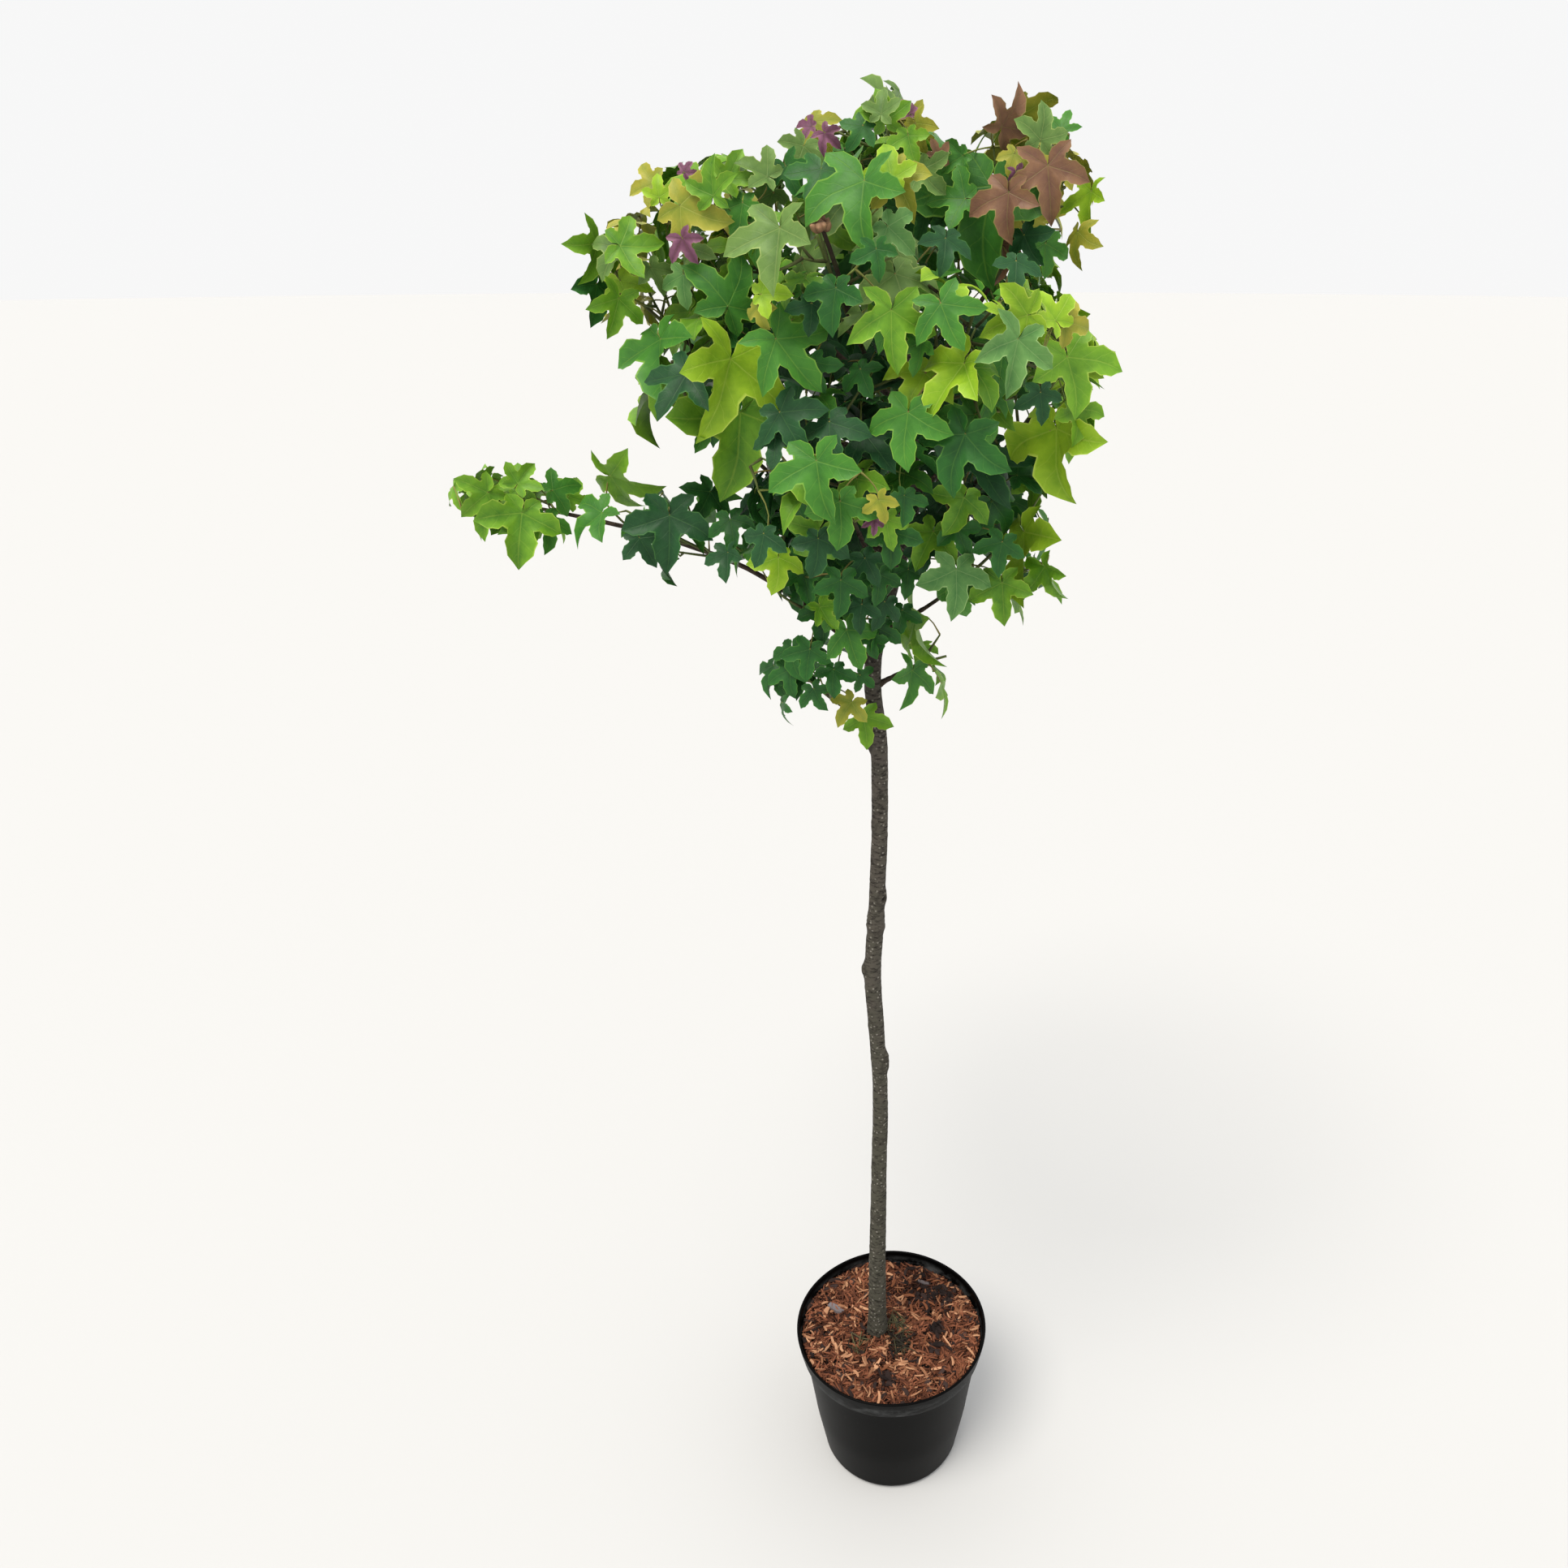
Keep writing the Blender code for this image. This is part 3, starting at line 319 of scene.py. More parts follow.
# Tints of the leaves: two sRGB colours between which a leaf's own lies, and the colour of its rim and veins
TINTS = {
    # deep: partly the dark green of older leaves inside the crown and partly painted shade there
    "deep": ("#163b1f", "#25522a", "#4f8040"),
    "shade": ("#1d4a1f", "#2e6626", "#5f923a"),
    "mid": ("#2c6021", "#457f29", "#83ae40"),
    # olive: greyer green of the upper masses, partly a painted reflection of the bright sky on the top leaves
    "olive": ("#48682f", "#6c8b45", "#a6b868"),
    # pale: grey-green, partly a painted sheen on mid-green leaves
    "pale": ("#3d6e34", "#648f4b", "#9fbf78"),
    "fresh": ("#44761d", "#6f9d26", "#a9c54c"),
    # lime: yellow-green of young leaves, and partly the painted glow of leaves lit through from behind
    "lime": ("#66911b", "#93b729", "#c3d65c"),
    "gold": ("#75852a", "#a19d37", "#beb95c"),
    "bronze": ("#65463a", "#886548", "#968e4d"),
    "plum": ("#40182c", "#875870", "#8f7755"),
}

# Finishes of loose mulch, stalks, twigs and buds: the attribute that they follow, two sRGB colours,
# roughness, and how many of the mottle's patches go to a metre
FINISHES = {
    # composted crumbs that hold water: nearly black, with no shine
    "Bark mulch, damp": ("shade", ("#100806", "#2c160d"), 0.95, 160.0),
    # torn strands of bark, dry on top: reddish brown and matt
    "Bark fibre": ("shade", ("#28120a", "#88533a"), 0.85, 60.0),
    # split wood, freshly cut: pale tan that catches the light
    "Fresh wood chip": ("shade", ("#6f4229", "#be8e6b"), 0.8, 60.0),
    # flat bits of bark, still wet: dark grey-brown
    "Damp bark": ("shade", ("#19110f", "#3d2e2a"), 0.9, 60.0),
    # weathered fibre with algae on it: dull green-brown
    "Green-brown fibre": ("shade", ("#211e17", "#5e593c"), 0.85, 60.0),
    # a leaf curled up dry: pale grey and papery
    "Dry grey leaf scrap": ("shade", ("#413a3a", "#837b7d"), 0.8, 60.0),
    # smooth living stalk: green to straw, with a little shine
    "Leaf stalk": ("shade", ("#5d7a34", "#8f7d48"), 0.5, 90.0),
    # smooth young shoot: brown at its foot and green to its tip
    "Green and brown twig": ("young", ("#352a23", "#63703c"), 0.7, 90.0),
    # overlapping waxy scales: dark red at the foot and tan to the tip
    "Bud scales": ("tip", ("#34121e", "#a07c5c"), 0.55, 90.0),
}

# Bark: its lower and higher colour, its cracks and its pores, and how high a crack's cell is for its width
BARKS = {
    "Sweetgum bark": (("#47453b", "#524b45", "#181410", "#8f8a80"), 0.34),
    "Young sweetgum bark": (("#453a30", "#40352c", "#221c18", "#6b5f50"), 0.5),
}

# Stage: the suns' places, their share of the key light, how wide they spread in degrees, and their colours
SUNS = (
    ("key_light", (-0.85, -1.15, 2.60), 1.0, 32.0, "#fffaf2"),
    ("fill_light", (1.80, -1.20, 1.60), 0.14, 80.0, "#f4f8ff"),
)
FLOOR_COLOUR = "#c6c6c5"
SKY_COLOUR = "#fdfdfd"
FLOOR_SIDES = 96


def linear(code):
    """The linear red, green and blue of an sRGB hex colour."""
    parts = np.array([int(code[i : i + 2], 16) for i in (1, 3, 5)]) / 255.0
    return tuple(np.where(parts <= 0.04045, parts / 12.92, ((parts + 0.055) / 1.055) ** 2.4))


def feed(node, inputs):
    """Gives a node its inputs: plain values, output sockets, or nodes whose first output is taken."""
    for key, value in inputs.items():
        if isinstance(value, bpy.types.Node):
            value = value.outputs[0]
        if isinstance(value, bpy.types.NodeSocket):
            node.id_data.links.new(value, node.inputs[key])
        else:
            node.inputs[key].default_value = value


def add_node(tree, kind, inputs=None, **settings):
    """Adds one shader node with its settings and its inputs."""
    made = tree.nodes.new("ShaderNode" + kind)
    for name, value in settings.items():
        setattr(made, name, value)
    feed(made, inputs or {})
    return made


def new_material(name, roughness, specular=0.5):
    """An empty Principled material, the function that adds a node to it, and its shader."""
    material = bpy.data.materials.new(name)
    material.use_nodes = True
    shader = material.node_tree.nodes["Principled BSDF"]
    feed(shader, {"Roughness": roughness, "Specular IOR Level": specular})
    return material, partial(add_node, material.node_tree), shader


def unit(vectors):
    """Vectors scaled to length one, along the last axis."""
    return vectors / np.linalg.norm(vectors, axis=-1, keepdims=True)


def grid_faces(rows, columns):
    """Quads between rows of points that each close round, as corner numbers."""
    row, column = np.meshgrid(np.arange(rows - 1), np.arange(columns), indexing="ij")
    low = row * columns
    following = (column + 1) % columns
    corners = (low + column, low + following, low + columns + following, low + columns + column)
    return np.stack(corners, axis=-1).reshape(-1, 4)


def closed_grid(grid):
    """Points and faces of a grid of rings, closed by a point at the middle of its first and its last ring."""
    rows, columns = grid.shape[:2]
    points = np.concatenate((grid.reshape(-1, 3), grid[:1].mean(axis=1), grid[-1:].mean(axis=1)))
    column = np.arange(columns)
    following = (column + 1) % columns
    start = np.stack((following, column, np.full(columns, rows * columns)), axis=-1)
    last = (rows - 1) * columns
    end = np.stack((last + column, last + following, np.full(columns, rows * columns + 1)), axis=-1)
    return points, grid_faces(rows, columns).tolist() + start.tolist() + end.tolist()


def tube_grid(course, radii, sides):
    """Rings round a course: centre + radius (cos a side + sin a up), side kept square to the course."""
    course = np.asarray(course, dtype=float)
    along = unit(np.gradient(course, axis=0))
    helper = np.eye(3)[np.argmin(np.abs(unit(course[-1] - course[0])))]
    side = unit(helper - along * (along @ helper)[:, None])
    up = np.cross(along, side)
    angles = np.linspace(0.0, 2.0 * np.pi, sides, endpoint=False)
    ring = np.cos(angles)[None, :, None] * side[:, None, :] + np.sin(angles)[None, :, None] * up[:, None, :]
    radii = np.asarray(radii, dtype=float)
    radii = radii[:, None, None] if radii.ndim == 1 else radii[:, :, None]
    return course[:, None, :] + radii * ring


def ripple(points, seed, wavelengths, count=18):
    """A smooth random height, mostly from -1 to 1: the scaled sum of sine waves in random directions."""
    rng = np.random.default_rng(seed)
    heading = unit(rng.normal(size=(count, 3)))
    lengths = rng.uniform(*wavelengths, size=count)
    phase = rng.uniform(0.0, 2.0 * np.pi, size=count)
    waves = np.sin(points @ (2.0 * np.pi * heading / lengths[:, None]).T + phase)
    return waves.sum(axis=-1) / math.sqrt(0.5 * count) * 0.5


class Gathered:
    """Points, faces and values of many small shapes that become one mesh."""

    def __init__(self):
        self.points = []
        self.faces = []
        self.values = {}
        self.materials = []
        self.count = 0

    def add(self, points, faces, material=0, **values):
        """Takes in one shape, with its faces counted on from the last, and its values one a point."""
        self.points.append(np.asarray(points).reshape(-1, 3))
        self.faces += [tuple(self.count + corner for corner in face) for face in faces]
        self.materials += [material] * len(faces)
        for name, value in values.items():
            wide = np.broadcast_to(np.asarray(value, dtype=float), (len(self.points[-1]),))
            self.values.setdefault(name, []).append(wide)
        self.count += len(self.points[-1])

    def piece(self, name, materials, slot, nodes=()):
        """Makes one piece of all the shapes."""
        points = np.concatenate(self.points)
        values = {key: np.concatenate(parts) for key, parts in self.values.items()}
        return new_piece(name, points, self.faces, materials, nodes, self.materials, values)


def new_piece(name, points, faces, materials, nodes=(), material_index=None, values=None):
    """One mesh object that rides on the root body. Values u and v become its UV map, others attributes."""
    mesh = bpy.data.meshes.new(name)
    mesh.from_pydata(points.tolist(), [], [tuple(face) for face in faces])
    mesh.update()
    values = dict(values or {})
    if "u" in values:
        corners = np.zeros(len(mesh.loops), dtype=np.int32)
        mesh.loops.foreach_get("vertex_index", corners)
        places = np.stack((values.pop("u"), values.pop("v")), axis=-1)[corners]
        mesh.uv_layers.new(name="UVMap").data.foreach_set("uv", places.astype(np.float32).ravel())
    for key, value in values.items():
        mesh.attributes.new(key, "FLOAT", "POINT").data.foreach_set("value", value.astype(np.float32))
    for material in materials:
        mesh.materials.append(material)
    if material_index is not None:
        mesh.polygons.foreach_set("material_index", np.array(material_index, dtype=np.int32))
    mesh.shade_smooth()
    obj = bpy.data.objects.new(name, mesh)
    bpy.context.scene.collection.objects.link(obj)
    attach(obj, "root")
    if nodes:
        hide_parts(*nodes)
    return obj


def trunk_centre(height):
    """Cubic pieces through the named course, with each slope taken from its neighbours."""
    knots = TRUNK_COURSE[:, 0]
    index = np.clip(np.searchsorted(knots, height) - 1, 0, len(knots) - 2)
    span = knots[index + 1] - knots[index]
    share = (height - knots[index]) / span
    places = []
    for values in TRUNK_COURSE[:, 1:3].T:
        slopes = np.gradient(values, knots)
        start = (2 * share**3 - 3 * share**2 + 1) * values[index]
        start_slope = (share**3 - 2 * share**2 + share) * span * slopes[index]
        end = (-2 * share**3 + 3 * share**2) * values[index + 1]
        places.append(start + start_slope + end + (share**3 - share**2) * span * slopes[index + 1])
    return np.stack((*places, np.asarray(height, dtype=float)), axis=-1)


def trunk_radius(height):
    """Half the diameter at a height, in straight lines between the named ones."""
    return 0.5 * np.interp(height, TRUNK_COURSE[:, 0], TRUNK_COURSE[:, 3])


def bezier(start, bend, end, share):
    """A curve that bends once: (1 - s) squared start + 2 s (1 - s) bend + s squared end, at each share s."""
    share = np.asarray(share, dtype=float)[..., None]
    return (1 - share) ** 2 * start + 2 * share * (1 - share) * bend + share**2 * end


def within_reach(points, mass, allowance):
    """Whether a mass's own ellipsoid, let out by an allowance, holds every point of each group."""
    centre, half = MASSES[mass][:2]
    scaled = (points - np.array(centre)) / (np.array(half) + allowance)
    return (scaled**2).sum(axis=-1).max(axis=-1) <= 1.0


def limb_course(mass):
    """Start, bend and end of the curve that a mass's bough and stem follow.

    It starts at the trunk's bark on the side of the mass, and ends past the mass's centre, outward and up, by
    a share of the mass's smallest half size.
    """
    centre, half, fork = (np.array(value) for value in MASSES[mass][:3])
    if mass == "top":
        start = trunk_centre(TRUNK_COURSE[-1, 0])
        end = centre + (0.004, -0.004, 0.035)
        return start, 0.5 * (start + end) + (-0.004, 0.0, 0.0), end
    foot = trunk_centre(fork)
    outward = centre - foot
    level = unit(outward * (1.0, 1.0, 0.0))
    trunk_along = unit(trunk_centre(fork + 0.005) - trunk_centre(fork - 0.005))
    radial = unit(level - trunk_along * (level @ trunk_along))
    start = foot + radial * trunk_radius(fork)
    end = centre + STEM_REACH * half.min() * unit(level + (0.0, 0.0, STEM_RISE))
    reach = np.linalg.norm(end - start)
    sag = BOUGH_SAG if end[2] - start[2] >= 0.05 else -BOUGH_ARCH
    return start, start + 0.5 * (end - start) - np.array((0.0, 0.0, sag * reach)), end


def long_course():
    """The long low bough's course, rounded between its named points."""
    start = trunk_centre(LONG_BOUGH_FORK) + np.array((-0.95, 0.0, 0.2)) * trunk_radius(LONG_BOUGH_FORK)
    rough = np.array((start, *LONG_BOUGH_COURSE))
    share = np.linspace(0.0, 1.0, len(rough))
    fine = np.linspace(0.0, 1.0, BOUGH_RINGS)
    course = np.stack([np.interp(fine, share, column) for column in rough.T], axis=-1)
    for _ in range(14):
        course[1:-1] = 0.25 * course[:-2] + 0.5 * course[1:-1] + 0.25 * course[2:]
    return course


def turned_about(vectors, axes, angle):
    """Vectors turned about unit axes by an angle in radians."""
    cosine, sine = np.cos(angle)[..., None], np.sin(angle)[..., None]
    dot = (vectors * axes).sum(axis=-1, keepdims=True)
    return vectors * cosine + np.cross(axes, vectors) * sine + axes * dot * (1.0 - cosine)


class Template:
    """The flat shape of a leaf whose midrib runs from its foot along +X, one unit long.

    Each lobe is a strip either side of its own vein. Its half width rises from the notch to its widest and
    tapers to the tip, with a tooth at every other corner.
    """

    def __init__(self, lobes, notches, widths):
        shares = np.arange(1, LOBE_STEPS) / LOBE_STEPS
        notch_angles = np.radians([row[0] for row in notches])
        notch_radii = np.array([row[1] for row in notches])
        notch_points = np.stack((np.cos(notch_angles), np.sin(notch_angles)), axis=-1) * notch_radii[:, None]
        points = [np.zeros((1, 2)), notch_points]
        edge = [np.zeros(1), np.ones(len(notches))]
        along = [np.zeros(1), np.full(len(notches), 0.30)]
        spread = [np.zeros(1), np.full(len(notches), 0.10)]
        self.faces = []
        self.outline = []
        count = 1 + len(notches)
        for number, (angle, length, width) in enumerate(lobes):
            turn = math.radians(angle)
            axis = np.array((math.cos(turn), math.sin(turn)))
            across = np.array((-axis[1], axis[0]))
            sides = {}
            for sign, notch in ((-1.0, number), (1.0, number + 1)):
                near = notch_points[notch]
                low, wide = near @ axis, abs(near @ across)
                reach = low + (length - low) * shares
                half = np.interp(shares, (0.0, *widths[0], 1.0), (wide, *(width * w for w in widths[1]), 0.0))
                half = half * (1.0 + LOBE_TOOTH * np.where(np.arange(len(shares)) % 2, 1.0, -1.0))
                sides[sign] = (reach, half, notch)
            middle = 0.5 * (sides[-1.0][0] + sides[1.0][0])
            points.append(middle[:, None] * axis)
            points.append((length * axis)[None, :])
            edge.append(np.zeros(LOBE_STEPS))
            along.append(np.append(middle / length, 1.0))
            spread.append(np.zeros(LOBE_STEPS))
            ribs = [0] + list(range(count, count + LOBE_STEPS))
            tip = count + LOBE_STEPS - 1
            count += LOBE_STEPS
            for sign in (-1.0, 1.0):
                reach, half, notch = sides[sign]
                points.append(reach[:, None] * axis + sign * half[:, None] * across)
                edge.append(np.ones(len(shares)))
                along.append(reach / length)
                spread.append(half)
                rim = [1 + notch] + list(range(count, count + len(shares))) + [tip]
                count += len(shares)
                for step in range(LOBE_STEPS):
                    face = [ribs[step], ribs[step + 1], rim[step + 1], rim[step]]
                    if step == LOBE_STEPS - 1:
                        face = [ribs[step], tip, rim[step]]
                    self.faces.append(tuple(face) if sign > 0 else tuple(reversed(face)))
                if sign < 0:
                    self.outline += [rim[0], rim[2], rim[4], tip]
                else:
                    self.outline += [rim[4], rim[2]]
        self.outline.append(len(notches))
        self.points = np.concatenate(points)
        self.edge = np.concatenate(edge)
        self.along = np.concatenate(along)
        self.spread = np.concatenate(spread)
        self.radius = np.linalg.norm(self.points, axis=1)
        self.angle = np.arctan2(self.points[:, 1], self.points[:, 0])
        ring = np.arange(1, len(self.outline))
        self.fan = np.stack((np.zeros_like(ring), ring, ring % len(self.outline) + 1), axis=-1).tolist()
        self.coarse = np.array([0] + self.outline)

    def placed(self, leaf, which=slice(None)):
        """The leaf's points in space.

        Its lobes sweep to one side by the square of their reach, and one half is a little longer. Each
        vein's ray bends down by an even curve, the two halves lift off the midrib and the rims off their
        ribs, and a slow wave runs round the outline.
        """
        radius = self.radius[which] * (1.0 + leaf["stretch"][:, None] * np.sin(self.angle[which]))
        angle = self.angle[which] + leaf["sweep"][:, None] * radius**2
        bend = leaf["curl"][:, None] + leaf["lean"][:, None] * np.cos(angle - leaf["lean_angle"][:, None])
        bend = np.where(np.abs(bend) < 0.05, 0.05, bend)
        reach = np.sin(bend * radius) / bend
        lift = leaf["fold"][:, None] * self.spread[which] - (1.0 - np.cos(bend * radius)) / bend
        lift = lift + leaf["keel"][:, None] * np.abs(self.points[which, 1])
        lift = lift + leaf["wave"][:, None] * radius**2 * np.sin(3.0 * angle + leaf["phase"][:, None])
        local = (reach * np.cos(angle))[..., None] * leaf["heading"][:, None, :]
        local = local + (reach * np.sin(angle))[..., None] * leaf["side"][:, None, :]
        local = local + lift[..., None] * leaf["normal"][:, None, :]
        return leaf["foot"][:, None, :] + leaf["length"][:, None, None] * local


# Leaf shapes: a lobe's half width at shares of its length, the notches as angle and reach, and the lobes of
# each shape as angle, length and widest half width
LOBE_WIDTHS = ((0.17, 0.34, 0.50, 0.67, 0.84), (0.97, 1.02, 1.00, 0.80, 0.40))
NOTCHES = ((-168, 0.07), (-98, 0.32), (-34, 0.40), (34, 0.40), (98, 0.32), (168, 0.07))
LEAF_SHAPES = (
    ((-130, 0.52, 0.14), (-66, 0.86, 0.20), (0, 1.00, 0.225), (66, 0.86, 0.20), (130, 0.52, 0.14)),
    ((-124, 0.60, 0.13), (-60, 0.92, 0.175), (0, 1.00, 0.20), (62, 0.88, 0.175), (128, 0.56, 0.13)),
    ((-134, 0.38, 0.13), (-72, 0.80, 0.215), (0, 1.00, 0.26), (70, 0.84, 0.21), (134, 0.42, 0.13)),
)
TEMPLATES = tuple(Template(lobes, NOTCHES, LOBE_WIDTHS) for lobes in LEAF_SHAPES)

# Corners of a leaf's outline that stand for it where room and sight are measured
SAMPLES = [0, 4, 10, 16, 22, 28]

